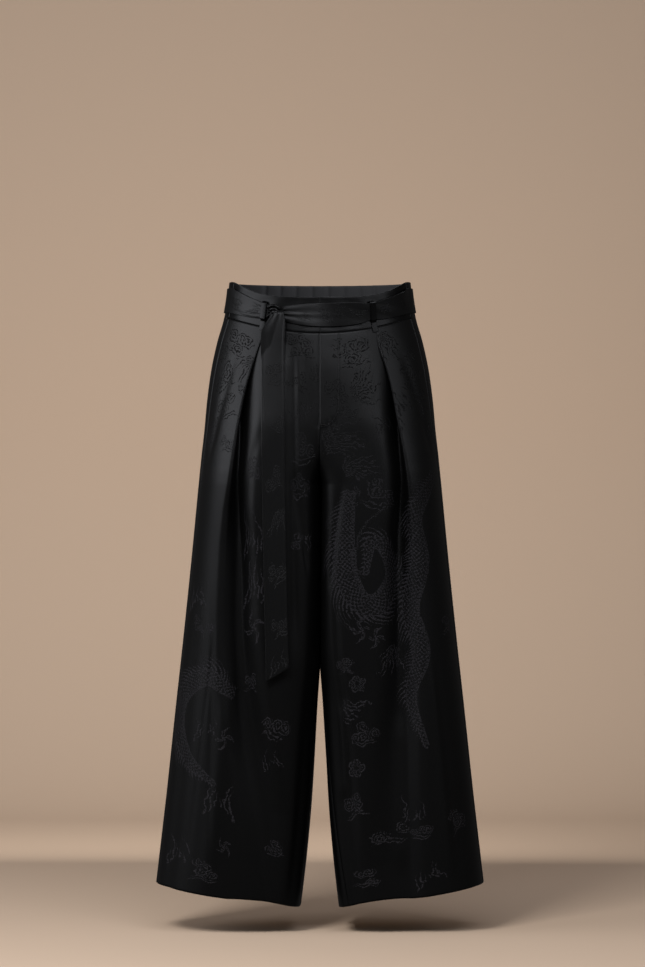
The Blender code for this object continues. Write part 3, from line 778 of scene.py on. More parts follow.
def cloud_lines(p, q, number):
    """A cluster of curls, three or four across, kept whole where they end."""
    tree = p.socket.id_data
    place = add_node(tree, "ShaderNodeCombineXYZ", [number * 3.7 + p * CURLS, number * 1.9 + q * CURLS]).outputs[0]
    cells = add_node(tree, "ShaderNodeTexVoronoi", {"Vector": place, "Scale": 1.0, "Randomness": 0.8},
                     voronoi_dimensions="2D").outputs
    step = add_node(tree, "ShaderNodeVectorMath", [place, cells["Position"]], operation="SUBTRACT")
    right, up, _ = axes(step.outputs[0])
    reach = Term(cells[0])
    spiral = abs(fraction(reach * 4.2 - bearing(up, right) / (2 * math.pi)) - 0.5)
    seed_p = p - right / CURLS
    seed_q = (q - up / CURLS) * 1.35
    kept = seed_p * seed_p + seed_q * seed_q < 0.62
    curl = (spiral < 0.21) * (reach < 0.60) * kept
    wave = sine(p * 5.0 + number) * 0.10 + q
    wisp = abs(fraction(wave * 5.0) - 0.5) < 0.17
    low = abs(wave + 0.62) < (1.0 - abs(p)) * 0.24
    return larger(curl, wisp * low)


def flame_lines(p, q, number):
    """A bundle of swaying tongues of different heights."""
    sway = sine(q * 3.6 + number) * (q * 0.12 + 0.17)
    u = (p + sway) * (q * 1.1 + 3.4)
    n = floor(u)
    tip = chance(n, number) * 1.3 - 0.35
    fork = sine(q * 11.0 + n * 2.3)
    strand = abs(fraction(u) - 0.5 - fork * 0.16)
    line = strand < smaller((tip - q) * 0.42, 0.19)
    return line * (abs(u) < 2.9) * (q > cosine(u) * 0.3 - 0.85)


def mane_lines(p, q, number):
    """Long hairs that spread like a fan and bend over at their ends."""
    up = q + 1.15
    far = root(p * p + up * up) / 2.15
    u = bearing(p, up) * 7.0 + sine(far * 5.2 + number) * 0.9
    length = chance(floor(u), number) * 0.45 + 0.52
    strand = abs(fraction(u) - 0.5)
    line = (strand < (length - far) * 0.8) * (strand < 0.22)
    return line * (abs(u) < 5.0) * (far > 0.16)


def blossom_lines(p, q, number):
    """Five round petals, a ring and its stamens."""
    r = root(p * p + q * q)
    turn = bearing(q, p) + number
    rim = abs(sine(turn * 2.5)) * 0.30 + 0.55
    petals = abs(r - rim) < 0.075
    veins = (cosine(turn * 20.0) > 0.2) * (r < rim - 0.16)
    return larger(petals, veins * (r > 0.20))


def claw_lines(p, q, number):
    """A round pad with four bent talons."""
    r = root(p * p + q * q)
    turn = r * 1.3 + bearing(q, p) + number
    spread = abs(fraction(turn / (math.pi / 2)) - 0.5)
    width = (1.0 - r) * 0.36
    talon = (spread < width) * (r < 1.0)
    hollow = (spread < width - 0.09) * (r > 0.22)
    return talon - hollow * 0.7


CLOUD, FLAME, BLOSSOM, CLAW, MANE = 1, 2, 3, 4, 5
DRAWN_BY = {CLOUD: cloud_lines, FLAME: flame_lines, BLOSSOM: blossom_lines, CLAW: claw_lines, MANE: mane_lines}
print("kinds of small figure:", len(DRAWN_BY))

# %% [markdown]
# The flat map says where a figure lies. Each panel's points carry two attributes: "dragon"
# holds millimetres along and off the body and half its width, and "figure" holds places
# within the nearest small figure, from -1 to 1, with its kind and number. Both change evenly
# over the cloth, so the lines drawn from them stay sharp between the points. A slow noise
# bends those places a little, because woven figures are drawn by hand, and a quick one breaks
# the lines up, because the wefts that draw them pass in and out of the ground.

# %% Cloth materials
GROUND = "#040404"
FIGURE = "#201f22"
FAINT_FIGURE = "#19191a"
# the figures' colour near the waist: painted shade, darker where the ground shines
PAINTED_SHADE_FIGURE = "#080808"
GROUND_ROUGHNESS = 0.42
FIGURE_ROUGHNESS = 0.72
FAINT_ROUGHNESS = 0.55
SATIN_ROUGHNESS = 0.31
SHINE = 0.32  # specular level of the panels
SASH_SHINE = 0.36
LOW_SHINE = 0.25  # of cloth without figures
RELIEF = 0.60  # how strongly the woven lines stand up
THREAD_SPACING = 0.45  # millimetres; the real 0.1 mm would not show
WOBBLE = 0.16  # how far the slow noise moves a figure's lines, as a share of its size
SLOW_NOISE = 85.0
QUICK_NOISE = 330.0
FIGURE_EDGE = 1.15  # how far from its middle a small figure ends, as a share of its size
PAINTED_SHADE_ENDS = 0.10  # metres down the cloth; above it the figures carry painted shade, below it they turn lighter
PAINTED_SHADE_FADE = 0.26


def flat_noise(cloth, scale):
    """Noise on the flat cloth, its value and its colour."""
    return add_node(cloth.id_data, "ShaderNodeTexNoise", {"Vector": cloth, "Scale": scale, "Detail": 1.0},
                    noise_dimensions="2D").outputs


def mixed(share, one, other):
    """A colour between two, by a term from 0 to 1."""
    return add_node(share.socket.id_data, "ShaderNodeMix", {0: share, 6: one, 7: other}, data_type="RGBA").outputs[2]


def satin_material(name, colour, roughness, shine=LOW_SHINE):
    """Smooth warp-faced satin, whose long floats give soft bright streaks."""
    material, tree, shader = principled(name, colour, roughness, shine)
    cloth = add_node(tree, "ShaderNodeUVMap", uv_map="cloth").outputs[0]
    threads = sine(axes(cloth)[0] * (2 * math.pi * 1000 / THREAD_SPACING))
    slub = add_node(tree, "ShaderNodeMapping", {"Vector": cloth, "Scale": (900, 60, 1)}, vector_type="POINT")
    noise = add_node(tree, "ShaderNodeTexNoise", {"Vector": slub.outputs[0], "Scale": 1.0, "Detail": 2.0})
    height = threads * 0.35 + Term(noise.outputs[0])
    bump = add_node(tree, "ShaderNodeBump", {"Height": height, "Strength": 0.06, "Distance": 0.0002})
    tree.links.new(bump.outputs[0], shader.inputs["Normal"])
    return material, tree, shader, cloth


def jacquard_material(name, roughness, figure_colour, figure_roughness, shine):
    """The satin with the figures that its two attributes place."""
    material, tree, shader, cloth = satin_material(name, GROUND, roughness, shine)
    body, place = (axes(add_node(tree, "ShaderNodeAttribute", attribute_name=attribute).outputs["Vector"])
                   for attribute in ("dragon", "figure"))
    bend = add_node(tree, "ShaderNodeSeparateColor", [flat_noise(cloth, SLOW_NOISE)["Color"]]).outputs
    bend_p, bend_q = Term(bend[0]) - 0.5, Term(bend[1]) - 0.5
    p = place[0] + bend_p * (2 * WOBBLE)
    q = place[1] + bend_q * (2 * WOBBLE)
    number = floor(place[2] / 10.0)
    kind = place[2] - number * 10.0
    lines = dragon_lines(body[0] + bend_q * 3.0, body[1], body[2])
    within = larger(abs(place[0]), abs(place[1])) < FIGURE_EDGE
    for code, draw in DRAWN_BY.items():
        chosen = math_node("COMPARE", kind, float(code), 0.02) * within
        lines = larger(lines, chosen * draw(p, q, number))
    broken = clamped((Term(flat_noise(cloth, QUICK_NOISE)[0]) - 0.36) * 6.0)
    woven = clamped(lines * broken)
    # painted shade: the figures' colour goes from dark near the waist, where the ground shines, to lighter lower down
    low = clamped((axes(cloth)[1] + PAINTED_SHADE_ENDS) * (-1 / PAINTED_SHADE_FADE))
    thread = mixed(low, linear(PAINTED_SHADE_FIGURE), linear(figure_colour))
    satin = shader.inputs["Normal"].links[0].from_socket
    relief = add_node(tree, "ShaderNodeBump", {
        "Height": woven, "Strength": RELIEF, "Distance": 0.0003, "Normal": satin})
    for socket, value in (
            ("Normal", relief.outputs[0]), ("Base Color", mixed(woven, linear(GROUND), thread)),
            ("Roughness", (woven * (figure_roughness - roughness) + roughness).socket),
            ("Specular Tint", mixed(woven, (1, 1, 1, 1), (0.35, 0.35, 0.35, 1)))):  # the weft mirrors less
        tree.links.new(value, shader.inputs[socket])
    return material


JACQUARD = jacquard_material("black satin jacquard", GROUND_ROUGHNESS, FIGURE, FIGURE_ROUGHNESS, SHINE)
SASH_JACQUARD = jacquard_material(
    "black sash satin with faint clouds", GROUND_ROUGHNESS, FAINT_FIGURE, FAINT_ROUGHNESS, SASH_SHINE)
SATIN = satin_material("black sash satin", GROUND, SATIN_ROUGHNESS)[0]
PLAIN_JACQUARD = satin_material("black satin, plain ground", GROUND, SATIN_ROUGHNESS)[0]
REVERSE = satin_material("matt wrong side of the satin", "#232324", 0.75)[0]
THREAD = principled("black sewing thread", "#1c1b1c", 0.45)[0]  # twisted polyester: a little gloss, no pattern
print("nodes of the jacquard:", len(JACQUARD.node_tree.nodes))

# %% [markdown]
# The layout lists each dragon as a course of points and each small figure by its place on
# the worn trousers, in millimetres across from the centre and down from the waist, then its
# kind, its size, how far it is stretched along its height and how far it is turned. The
# script looks up where that lies on the flat cloth.

# %% Layout of the figures
# Fins of 1 lie left of the course, those of -1 right of it.
Dragon = namedtuple("Dragon", "panel half_width fins course")
DRAGONS = [
    Dragon("front_left", 18, -1, [
        (44, 366), (38, 420), (40, 480), (64, 528), (102, 528), (120, 486), (108, 440), (80, 434), (74, 466),
    ]),
    Dragon("front_left", 16, -1, [
        (186, 330), (158, 390), (170, 460), (144, 535), (170, 610), (146, 680), (166, 750),
    ]),
    Dragon("front_right", 17, 1, [
        (-150, 668), (-190, 648), (-226, 676), (-236, 728), (-222, 780), (-188, 812),
    ]),
    Dragon("back_left", 18, 1, [
        (150, 260), (100, 310), (60, 370), (90, 440), (150, 490), (160, 560), (110, 620), (80, 690),
    ]),
    Dragon("back_right", 18, 1, [
        (-80, 300), (-140, 350), (-160, 420), (-110, 480), (-90, 550), (-150, 620), (-190, 690), (-160, 770),
    ]),
]
FIGURES = {
    "front_left": [
        (58, 118, CLOUD, 38, 0.9, 10), (30, 104, FLAME, 16, 0.9, 90), (150, 118, CLOUD, 26, 0.9, 0),
        (165, 190, CLOUD, 26, 1.2, 20), (50, 215, CLOUD, 22, 0.9, 0), (98, 232, FLAME, 24, 1.1, 30),
        (112, 118, MANE, 39, 1.0, 205), (152, 150, CLOUD, 34, 1.1, -10), (80, 172, MANE, 37, 1.0, -60),
        (126, 198, FLAME, 29, 1.2, 40), (30, 180, CLOUD, 24, 1.3, 0), (42, 262, MANE, 46, 1.1, -75),
        (68, 305, MANE, 41, 1.0, -68), (94, 350, CLOUD, 42, 0.8, -8), (50, 352, CLOUD, 21, 1.0, 60),
        (64, 574, CLAW, 24, 1.0, 20), (94, 588, CLAW, 21, 1.0, 70), (40, 632, CLOUD, 19, 1.0, 0),
        (60, 664, BLOSSOM, 16, 1.0, 0), (46, 704, FLAME, 23, 1.0, 60), (72, 742, CLOUD, 25, 1.2, 0),
        (56, 800, BLOSSOM, 17, 1.0, 0), (52, 855, CLOUD, 26, 1.2, 10), (148, 862, FLAME, 22, 1.5, -5),
        (116, 902, CLOUD, 40, 0.6, 6), (160, 900, CLOUD, 21, 1.0, 0), (68, 975, CLOUD, 32, 0.7, 0),
        (170, 968, FLAME, 24, 0.9, 20), (118, 630, MANE, 30, 1.2, 150), (212, 560, CLOUD, 20, 1.2, 0),
        (226, 880, CLOUD, 25, 1.0, 30), (200, 240, CLOUD, 28, 1.4, 0),
    ],
    "front_right": [
        (-132, 100, CLOUD, 34, 0.8, -12), (-126, 146, MANE, 28, 1.0, 140), (-158, 150, CLOUD, 30, 1.0, 20),
        (-164, 118, CLOUD, 22, 1.0, 0), (-118, 180, CLOUD, 18, 1.4, 30), (-150, 262, CLOUD, 22, 1.1, 0),
        (-12, 150, CLOUD, 16, 1.2, 0), (-40, 162, CLOUD, 20, 1.2, 40), (-150, 202, CLOUD, 30, 1.0, 0),
        (-182, 246, CLOUD, 26, 1.2, 0), (-32, 105, CLOUD, 30, 0.9, 0), (-26, 160, CLOUD, 21, 1.5, 0),
        (-34, 212, MANE, 25, 0.9, 20), (-30, 282, CLOUD, 24, 1.4, 0), (-28, 338, CLOUD, 20, 1.5, 0),
        (-32, 430, CLOUD, 20, 1.4, 90), (-112, 300, CLOUD, 21, 1.5, 0), (-114, 412, FLAME, 20, 2.2, 4),
        (-106, 492, FLAME, 22, 2.2, -6), (-112, 570, CLAW, 25, 1.2, 10), (-206, 512, FLAME, 24, 1.3, 8),
        (-196, 560, CLOUD, 25, 0.9, -30), (-116, 655, CLOUD, 18, 1.2, 0), (-190, 728, FLAME, 23, 1.1, 10),
        (-160, 752, CLAW, 21, 1.0, 0), (-74, 728, CLOUD, 26, 1.3, -15), (-86, 780, FLAME, 16, 1.3, 20),
        (-166, 842, FLAME, 24, 1.6, -12), (-158, 930, CLAW, 14, 1.2, 0), (-238, 928, FLAME, 28, 1.1, 5),
        (-196, 962, CLOUD, 35, 0.7, 0), (-210, 300, CLOUD, 25, 1.4, 0), (-80, 930, CLOUD, 21, 0.9, 5),
    ],
    "back_left": [
        (60, 180, CLOUD, 38, 0.9, 0), (130, 190, CLOUD, 32, 1.2, 0), (30, 260, MANE, 34, 1.0, 30),
        (180, 350, CLOUD, 32, 1.2, 30), (50, 470, CLAW, 25, 1.0, 0), (190, 640, CLOUD, 32, 0.9, 0),
        (140, 730, FLAME, 26, 1.5, 0), (70, 780, CLOUD, 32, 1.0, 0), (200, 800, FLAME, 26, 1.4, 0),
        (120, 870, CLOUD, 38, 0.8, 12), (80, 950, BLOSSOM, 19, 1.0, 0), (180, 940, CLOUD, 32, 0.9, -8),
    ],
    "back_right": [
        (-50, 190, MANE, 34, 1.0, -30), (-130, 210, CLOUD, 38, 0.9, 0), (-180, 300, FLAME, 26, 1.4, 0),
        (-50, 400, CLOUD, 32, 1.0, -20), (-190, 530, CLAW, 25, 1.0, 0), (-60, 640, CLOUD, 32, 1.1, 0),
        (-100, 720, FLAME, 26, 1.6, 0), (-220, 790, CLOUD, 32, 0.9, 0), (-90, 840, BLOSSOM, 20, 1.0, 0),
        (-190, 880, CLOUD, 38, 0.8, 10), (-120, 950, CLOUD, 32, 0.8, -6), (-220, 950, FLAME, 25, 1.2, 0),
    ],
    "sash": [
        (-140, 34, CLOUD, 17, 0.8, 0), (-114, 47, MANE, 17, 0.8, 90), (-30, 56, CLOUD, 16, 0.8, 0),
        (4, 58, CLOUD, 17, 0.8, 90), (40, 56, MANE, 17, 0.9, -80), (66, 53, CLOUD, 16, 0.8, 0),
        (112, 47, CLOUD, 17, 0.8, 0), (138, 37, FLAME, 16, 1.0, 90),
    ],
    "tail": [
        (-76, 150, CLOUD, 18, 1.5, 0), (-72, 235, CLOUD, 17, 1.5, 90), (-78, 320, CLOUD, 20, 1.5, 0),
        (-70, 400, MANE, 22, 1.3, 170), (-74, 480, CLOUD, 19, 1.4, 20), (-68, 560, CLOUD, 18, 1.6, 0),
        (-70, 622, FLAME, 18, 1.0, 0),
    ],
}
print("figures:", sum(len(panel) for panel in FIGURES.values()), "and", len(DRAGONS), "dragons")


# %% Charting the figures on a panel
NO_FIGURE = 9.0
FIGURE_REACH = 1.6  # a figure's places are written this far out, past its edge
BODY_REACH = 0.055  # metres from a dragon's course beyond which nothing of it is drawn
PAST_END = 0.02


def flat_place(points, flat, x, drop, front):
    """Where a point that is seen on the worn trousers, in millimetres, lies on the flat cloth."""
    away = np.hypot(points[..., 0] - x / 1000, points[..., 2] - (BAND_TOP - drop / 1000))
    depth = points[..., 1] if front else -points[..., 1]
    cost = np.where(away < 0.005, depth, 10 + away)
    return flat.reshape(-1, 2)[int(np.argmin(cost))]


def smooth_course(places):
    """A smooth curve through a dragon's points, every few millimetres."""
    places = np.array(places)
    padded = np.vstack((2 * places[0] - places[1], places, 2 * places[-1] - places[-2]))
    t = np.linspace(0, 1, 24, endpoint=False)[:, None]
    parts = []
    for a, b, c, d in zip(padded[:-3], padded[1:-2], padded[2:-1], padded[3:]):
        parts.append(0.5 * (2 * b + (c - a) * t + (2 * a - 5 * b + 4 * c - d) * t**2 + (3 * b - a - 3 * c + d) * t**3))
    return np.vstack(parts)


def write_attribute(piece, name, values):
    attribute = piece.data.attributes.new(name, "FLOAT_VECTOR", "POINT")
    attribute.data.foreach_set("vector", values.ravel().astype(np.float32))


def chart_figures(piece, points, flat, panel):
    """Write the two attributes that place the figures on a panel."""
    front = not panel.startswith("back")
    places = flat.reshape(-1, 2)
    dragon = np.zeros((len(places), 3))
    nearest = np.full(len(places), 1.0)
    for body in (item for item in DRAGONS if item.panel == panel):
        course = smooth_course([flat_place(points, flat, x, drop, front) for x, drop in body.course])
        ahead = np.gradient(course, axis=0)
        ahead /= np.linalg.norm(ahead, axis=1)[:, None]
        walked = np.concatenate(([0], np.cumsum(np.linalg.norm(np.diff(course, axis=0), axis=1))))
        apart = places[:, None, :] - course[None, :, :]
        reach = np.linalg.norm(apart, axis=2)
        index = reach.argmin(axis=1)
        close = reach[np.arange(len(places)), index]
        step = apart[np.arange(len(places)), index]
        forward = (step * ahead[index]).sum(axis=1)
        off = step[:, 1] * ahead[index, 0] - step[:, 0] * ahead[index, 1]
        along = walked[index] + forward
        share = np.clip(along / walked[-1], 0, 1)
        half = body.half_width * np.sin(math.pi * (0.06 + 0.90 * share) ** 0.8) ** 0.6
        past = np.abs(forward) > PAST_END
        mine = close < nearest
        half = np.where(past | (close > BODY_REACH), 0, half)
        values = np.stack([along * 1000, off * 1000 * body.fins, half], axis=1)
        dragon[mine] = values[mine]
        nearest[mine] = close[mine]
    write_attribute(piece, "dragon", dragon)
    figure = np.full((len(places), 3), NO_FIGURE)
    nearest = np.full(len(places), 1e9)
    for number, (x, drop, kind, size, stretch, turn) in enumerate(FIGURES[panel], start=1):
        turn = math.radians(turn)
        step = (places - flat_place(points, flat, x, drop, front)) * 1000 / size
        if panel in ("front_right", "back_left"):  # their rows run from right to left as seen
            step[:, 0] *= -1
        local = np.stack([step[:, 0] * math.cos(turn) + step[:, 1] * math.sin(turn),
                          (step[:, 1] * math.cos(turn) - step[:, 0] * math.sin(turn)) / stretch], axis=1)
        reach = np.abs(local).max(axis=1)
        mine = reach < nearest
        figure[mine, :2] = local[mine]
        figure[mine, 2] = kind + 10 * number
        nearest[mine] = reach[mine]
    figure[nearest > FIGURE_REACH] = NO_FIGURE
    write_attribute(piece, "figure", figure)


# %% Front and back panels
panels = {}
grids = {}
for side, word in ((-1, "right"), (1, "left")):
    for front, part in ((True, "front"), (False, "back")):
        panel = part + "_" + word
        points = panel_points(side, front)
        flat = cloth_map(points, warp_line(points))
        piece = cloth_sheet(
            part + "_cloth_" + word, points, JACQUARD, PANEL_CLOTH, (side < 0) == front, flat, reverse=REVERSE)
        chart_figures(piece, points, flat, panel)
        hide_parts(part + "_panel_" + word)
        panels[panel], grids[panel] = piece, points

# %% [markdown]
# The waistband is cut double and folded at its top edge: a left and a right front that meet
# over the fly, and a back that elastic gathers. It hangs lower in front than at the sides.

# %% Places round the waist
BAND_CLOTH = 0.0020
BAND_EDGE = 0.0008


def waist_angle(x, below, at_back=False):
    """Angle round the waist at a distance from the centre, positive x to the wearer's left."""
    half_width = float(read_table(LEVELS, "half_width", below + (0.0 if at_back else WAIST_DIP * 0.8)))
    angle = math.acos(max(-1.0, min(1.0, x / half_width)))
    return -angle if at_back else angle


def waist_points(angle, below, out):
    """Points at distances below the waist's top edge, moved out from the band's outer face."""
    angle, below, out = np.broadcast_arrays(angle, below, out)
    here = ring(1, angle, drop_at(below, angle))
    before = ring(1, angle - 0.02, drop_at(below, angle - 0.02))
    after = ring(1, angle + 0.02, drop_at(below, angle + 0.02))
    along = before - after
    level = np.stack([along[..., 1], -along[..., 0]], axis=-1)
    here[..., :2] += level / np.linalg.norm(level, axis=-1)[..., None] * out[..., None]
    return here


def waist_step(angle, distance):
    """The change of angle that moves a distance round the waist."""
    ahead = ring(1, np.array(angle + 0.01), 0.02) - ring(1, np.array(angle - 0.01), 0.02)
    return distance * 0.02 / float(np.linalg.norm(ahead))


# %% Waistbands
SIDE_SEAM = math.radians(20)
BAND_GAP = 0.0002
bands = {}
heights = BAND_HEIGHT * np.linspace(0, 1, 19)
for side, word in ((-1, "right"), (1, "left")):
    first = math.pi / 2 - waist_step(math.pi / 2, BAND_GAP / 10)
    last = SIDE_SEAM + waist_step(SIDE_SEAM, BAND_GAP)
    angle, below = np.meshgrid(np.linspace(first, last, 90), heights)
    pulled = 0.0005 * np.sin(angle * 23 + below * 160) * np.sin(below / BAND_HEIGHT * math.pi)
    points = waist_points(angle, below, -BAND_CLOTH / 2 - 0.0003 + pulled * 0.6)
    points[..., 0] *= side
    piece = cloth_sheet("band_front_" + word, points, PLAIN_JACQUARD, BAND_CLOTH, side < 0, edge=BAND_EDGE)
    bands["front_" + word] = (piece, points)
back_angles = [-math.pi / 2]
while len(back_angles) < 81:
    back_angles.append(back_angles[-1] + waist_step(back_angles[-1], GATHER_PITCH * GATHERS_EACH_SIDE / 80))
gathered_end = back_angles[-1]
back_angles += list(np.linspace(gathered_end, SIDE_SEAM - waist_step(SIDE_SEAM, BAND_GAP), 45)[1:])
round_back = np.concatenate((np.linspace(0, GATHER_PITCH * GATHERS_EACH_SIDE, 81), np.full(44, 1.0)))
angle, below = np.meshgrid(back_angles, heights)
gathers = gather_depth(np.broadcast_to(round_back, angle.shape), 0.0)
half = waist_points(angle, below, -BAND_CLOTH / 2 - gathers)
points = np.concatenate((half[:, :0:-1] * np.array([-1, 1, 1]), half), axis=1)
bands["back"] = (cloth_sheet("band_back", points, PLAIN_JACQUARD, BAND_CLOTH, True, reverse=REVERSE), points)
for part, (piece, points) in bands.items():
    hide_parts("waistband_" + part)

# %% [markdown]
# The fly's facing lies inside the left front, behind the curved stitching. It hardly shows,
# so it stays a plain piece of the same cloth.

# %% Fly facing
FACING_WIDTH = 0.036
FACING_STRAIGHT = 0.214  # the drop below which it narrows
FACING_FOOT = 0.2438
rows = []
for share in np.linspace(0, 1, 40):
    nominal = BAND_HEIGHT + 0.0010 + (FLY_END - BAND_HEIGHT + 0.003) * math.sin(share * math.pi / 2) ** 0.9
    row = Row(1, min(nominal, FACING_FOOT), True)
    width = FACING_WIDTH * math.sqrt(max(0.04, 1 - max(0.0, (nominal - FACING_STRAIGHT) / 0.030) ** 2))
    along = row.seam + 0.0014 + width * np.linspace(0, 1, 12)
    rows.append(row.point(along, np.full(12, PANEL_CLOTH + 0.0009)))
fly_points = np.array(rows)
fly = cloth_sheet("fly_facing_cloth", fly_points, PLAIN_JACQUARD, PANEL_CLOTH)
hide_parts("fly_facing")

# %% [markdown]
# The sash is a flat tube of satin, tied on the wearer's right. The knot pulls it narrow, and
# creases fan out from there; the loops that it passes under nip it too. Beside the knot, two
# long creases along its lower edge show where it was folded to this width.

# %% Sash round the waist
SASH_CLOTH = 0.0016
LAYER_GAP = 0.0004
LOOP_CLOTH = 0.0010
LOOP_WIDTH = 0.0088
LOOP_EDGE = 0.0004
LOOP_PINCH_REACH = 0.016
Loop = namedtuple("Loop", "name x_top x_foot drop_top drop_foot at_back pinch")
LOOPS = [
    Loop("belt_loop_front_right", -0.0885, -0.0950, 0.0110, 0.0650, False, 0.00),
    Loop("belt_loop_front_left", 0.0820, 0.0905, 0.0095, 0.0670, False, 0.20),
    Loop("belt_loop_back_right", -0.1120, -0.1120, 0.0090, 0.0635, True, 0.20),
    Loop("belt_loop_back_left", 0.1120, 0.1120, 0.0090, 0.0635, True, 0.20),
]
KNOT_RADIUS = 0.145  # metres round the waist for each radian, near the knot
LOOP_RADIUS = 0.13
SASH_WIDTH = 0.040
SASH_EDGE = 0.0006
SASH_CENTRE = 0.030
SASH_PINCH = 0.38
SASH_PINCH_REACH = 0.026
SASH_GATHER = 0.0014
SASH_LEAN = 0.0068
KNOT_X = -0.0714
KNOT_CENTRE = 0.0260
KNOT_SIZE = (0.0232, 0.0140, 0.0225)


def turn_between(angle, other):
    return np.abs((angle - other + math.pi) % (2 * math.pi) - math.pi)


def sash_at(angle):
    """The sash's half height at an angle, and how hard the knot pulls it there, from 0 to 1."""
    to_knot = turn_between(angle, waist_angle(KNOT_X, SASH_CENTRE)) * KNOT_RADIUS - KNOT_SIZE[0] / 2
    pull = np.exp(-np.maximum(0.0, to_knot) / SASH_PINCH_REACH)
    half = SASH_WIDTH / 2 * (1 - SASH_PINCH * pull)
    for loop in LOOPS:
        away = turn_between(angle, waist_angle(loop.x_top, 0.02, loop.at_back)) * LOOP_RADIUS
        half = half * (1 - loop.pinch * bell(away / LOOP_PINCH_REACH))
    return half, pull


def sash_lean(angle):
    """How far the sash's top edge stands off on the left front, where it hangs loose."""
    return SASH_LEAN * smooth((np.cos(angle) + 0.05) / 0.25) * smooth((np.sin(angle) - 0.30) / 0.30)


first = waist_angle(KNOT_X + KNOT_SIZE[0] / 2 + LAYER_GAP, SASH_CENTRE)
last = waist_angle(KNOT_X - KNOT_SIZE[0] / 2 - LAYER_GAP, SASH_CENTRE) - 2 * math.pi
share = np.linspace(0, 1, 360)
angles = first + (last - first) * (0.15 * smooth(share) + 0.85 * share)
half, pull = sash_at(angles)
k = np.linspace(-1, 1, 31)[:, None]
fan = (1 + np.cos(3 * math.pi * k + 0.5 * np.sin(5 * k))) / 2
creases = SASH_GATHER * pull * fan
long_crease = bell((k - 0.55) / 0.10) + 0.8 * bell((k - 0.80) / 0.07)
from_left = (angles - last) * KNOT_RADIUS  # distance from the knot, round the wearer's right side
creases = creases + 0.0009 * (long_crease - 0.5) * np.exp(-from_left / 0.075) * (from_left < 1)
soft = 0.0004 * np.sin(3 * k + angles * 9) * np.sin(2 * angles)
out = SASH_GAP + SASH_CLOTH / 2 + np.maximum(creases + soft, 0) + sash_lean(angles) * (1 - k) / 2
sash_grid = waist_points(angles[None, :], SASH_CENTRE + half * k, out)
sash_flat = cloth_map(sash_grid)
sash = cloth_sheet("sash_round_waist_satin", sash_grid, SASH_JACQUARD, SASH_CLOTH, flat=sash_flat, edge=SASH_EDGE)
chart_figures(sash, sash_grid, sash_flat, "sash")
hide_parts("sash_round_waist")

# %% [markdown]
# Four belt loops bridge the sash, narrow strips that are sewn down above and below it.

# %% Belt loops
loop_grids = {}
loops = {}
near = LAYER_GAP + LOOP_CLOTH / 2
LOOP_EASE = 0.0010
for loop in LOOPS:
    angle_top = waist_angle(loop.x_top, 0.01, loop.at_back)
    angle_foot = waist_angle(loop.x_foot, 0.06, loop.at_back)
    half_here, pull_here = (float(value) for value in sash_at(np.array(angle_top)))
    over = near + SASH_GAP + SASH_CLOTH + SASH_GATHER * pull_here + LOOP_EASE
    leaning = float(sash_lean(np.array(angle_top)))
    top, foot = SASH_CENTRE - half_here, SASH_CENTRE + half_here
    stations = [loop.drop_top, top - 0.0036, top - 0.0010, foot + 0.0010, foot + 0.0036, loop.drop_foot]
    below = np.linspace(loop.drop_top, loop.drop_foot, 60)
    out = np.interp(below, stations, [near, near, over + leaning, over, near, near])
    out[2:-2] = np.maximum(out[2:-2], np.convolve(out, np.ones(5) / 5, mode="valid"))
    share = (below - loop.drop_top) / (loop.drop_foot - loop.drop_top)
    angle = angle_top + (angle_foot - angle_top) * share
    across = waist_step(angle_top, LOOP_WIDTH / 2) * np.linspace(1, -1, 9)
    bulge = 0.00030 * (1 - np.linspace(-1, 1, 9) ** 2)
    grid = waist_points(angle[:, None] + across[None, :], below[:, None], out[:, None] + bulge[None, :])
    loops[loop.name] = cloth_sheet(loop.name + "_cloth", grid, PLAIN_JACQUARD, LOOP_CLOTH, edge=LOOP_EDGE)
    loop_grids[loop.name] = grid
    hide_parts(loop.name)

# %% [markdown]
# The tail comes over the knot's foot, spreads to its full width and hangs in front of the
# right leg to a slanted end. Its turned edges stand a little prouder than its middle.

# %% Hanging tail
TAIL_SLANT = 0.0226
Tail = namedtuple("Tail", "drop left right clear")
TAILS = [
    Tail(0.0500, -0.0738, -0.0602, 0.0085),
    Tail(0.0530, -0.0745, -0.0598, 0.0112),
    Tail(0.0560, -0.0762, -0.0592, 0.0125),
    Tail(0.0620, -0.0805, -0.0582, 0.0122),
    Tail(0.0700, -0.0868, -0.0566, 0.0116),
    Tail(0.0785, -0.0932, -0.0564, 0.0107),
    Tail(0.0870, -0.0962, -0.0568, 0.0096),
    Tail(0.1050, -0.0966, -0.0575, 0.0076),
    Tail(0.1400, -0.0964, -0.0577, 0.0048),
    Tail(0.1970, -0.0960, -0.0576, 0.0030),
    Tail(0.3600, -0.0940, -0.0566, 0.0025),
    Tail(0.5225, -0.0908, -0.0537, 0.0025),
    Tail(0.6450, -0.0882, -0.0505, 0.0025),
]


def front_reach(x, drop):
    """How far the front stands forward of the origin at a distance from the centre."""
    half_width = read_table(LEVELS, "half_width", drop)
    front = read_table(LEVELS, "front", drop)
    back = read_table(LEVELS, "back", drop)
    wide = (half_width - read_table(LEVELS, "gap", drop)) / (1 + read_table(LEVELS, "split", drop))
    beside = np.abs(x) - (half_width - wide)
    power = leg_power(beside, drop, x)
    away = np.minimum(1.0, np.abs(beside) / wide)
    return (front - back) / 2 + (front + back) / 2 * (1 - away**power) ** (1 / power)


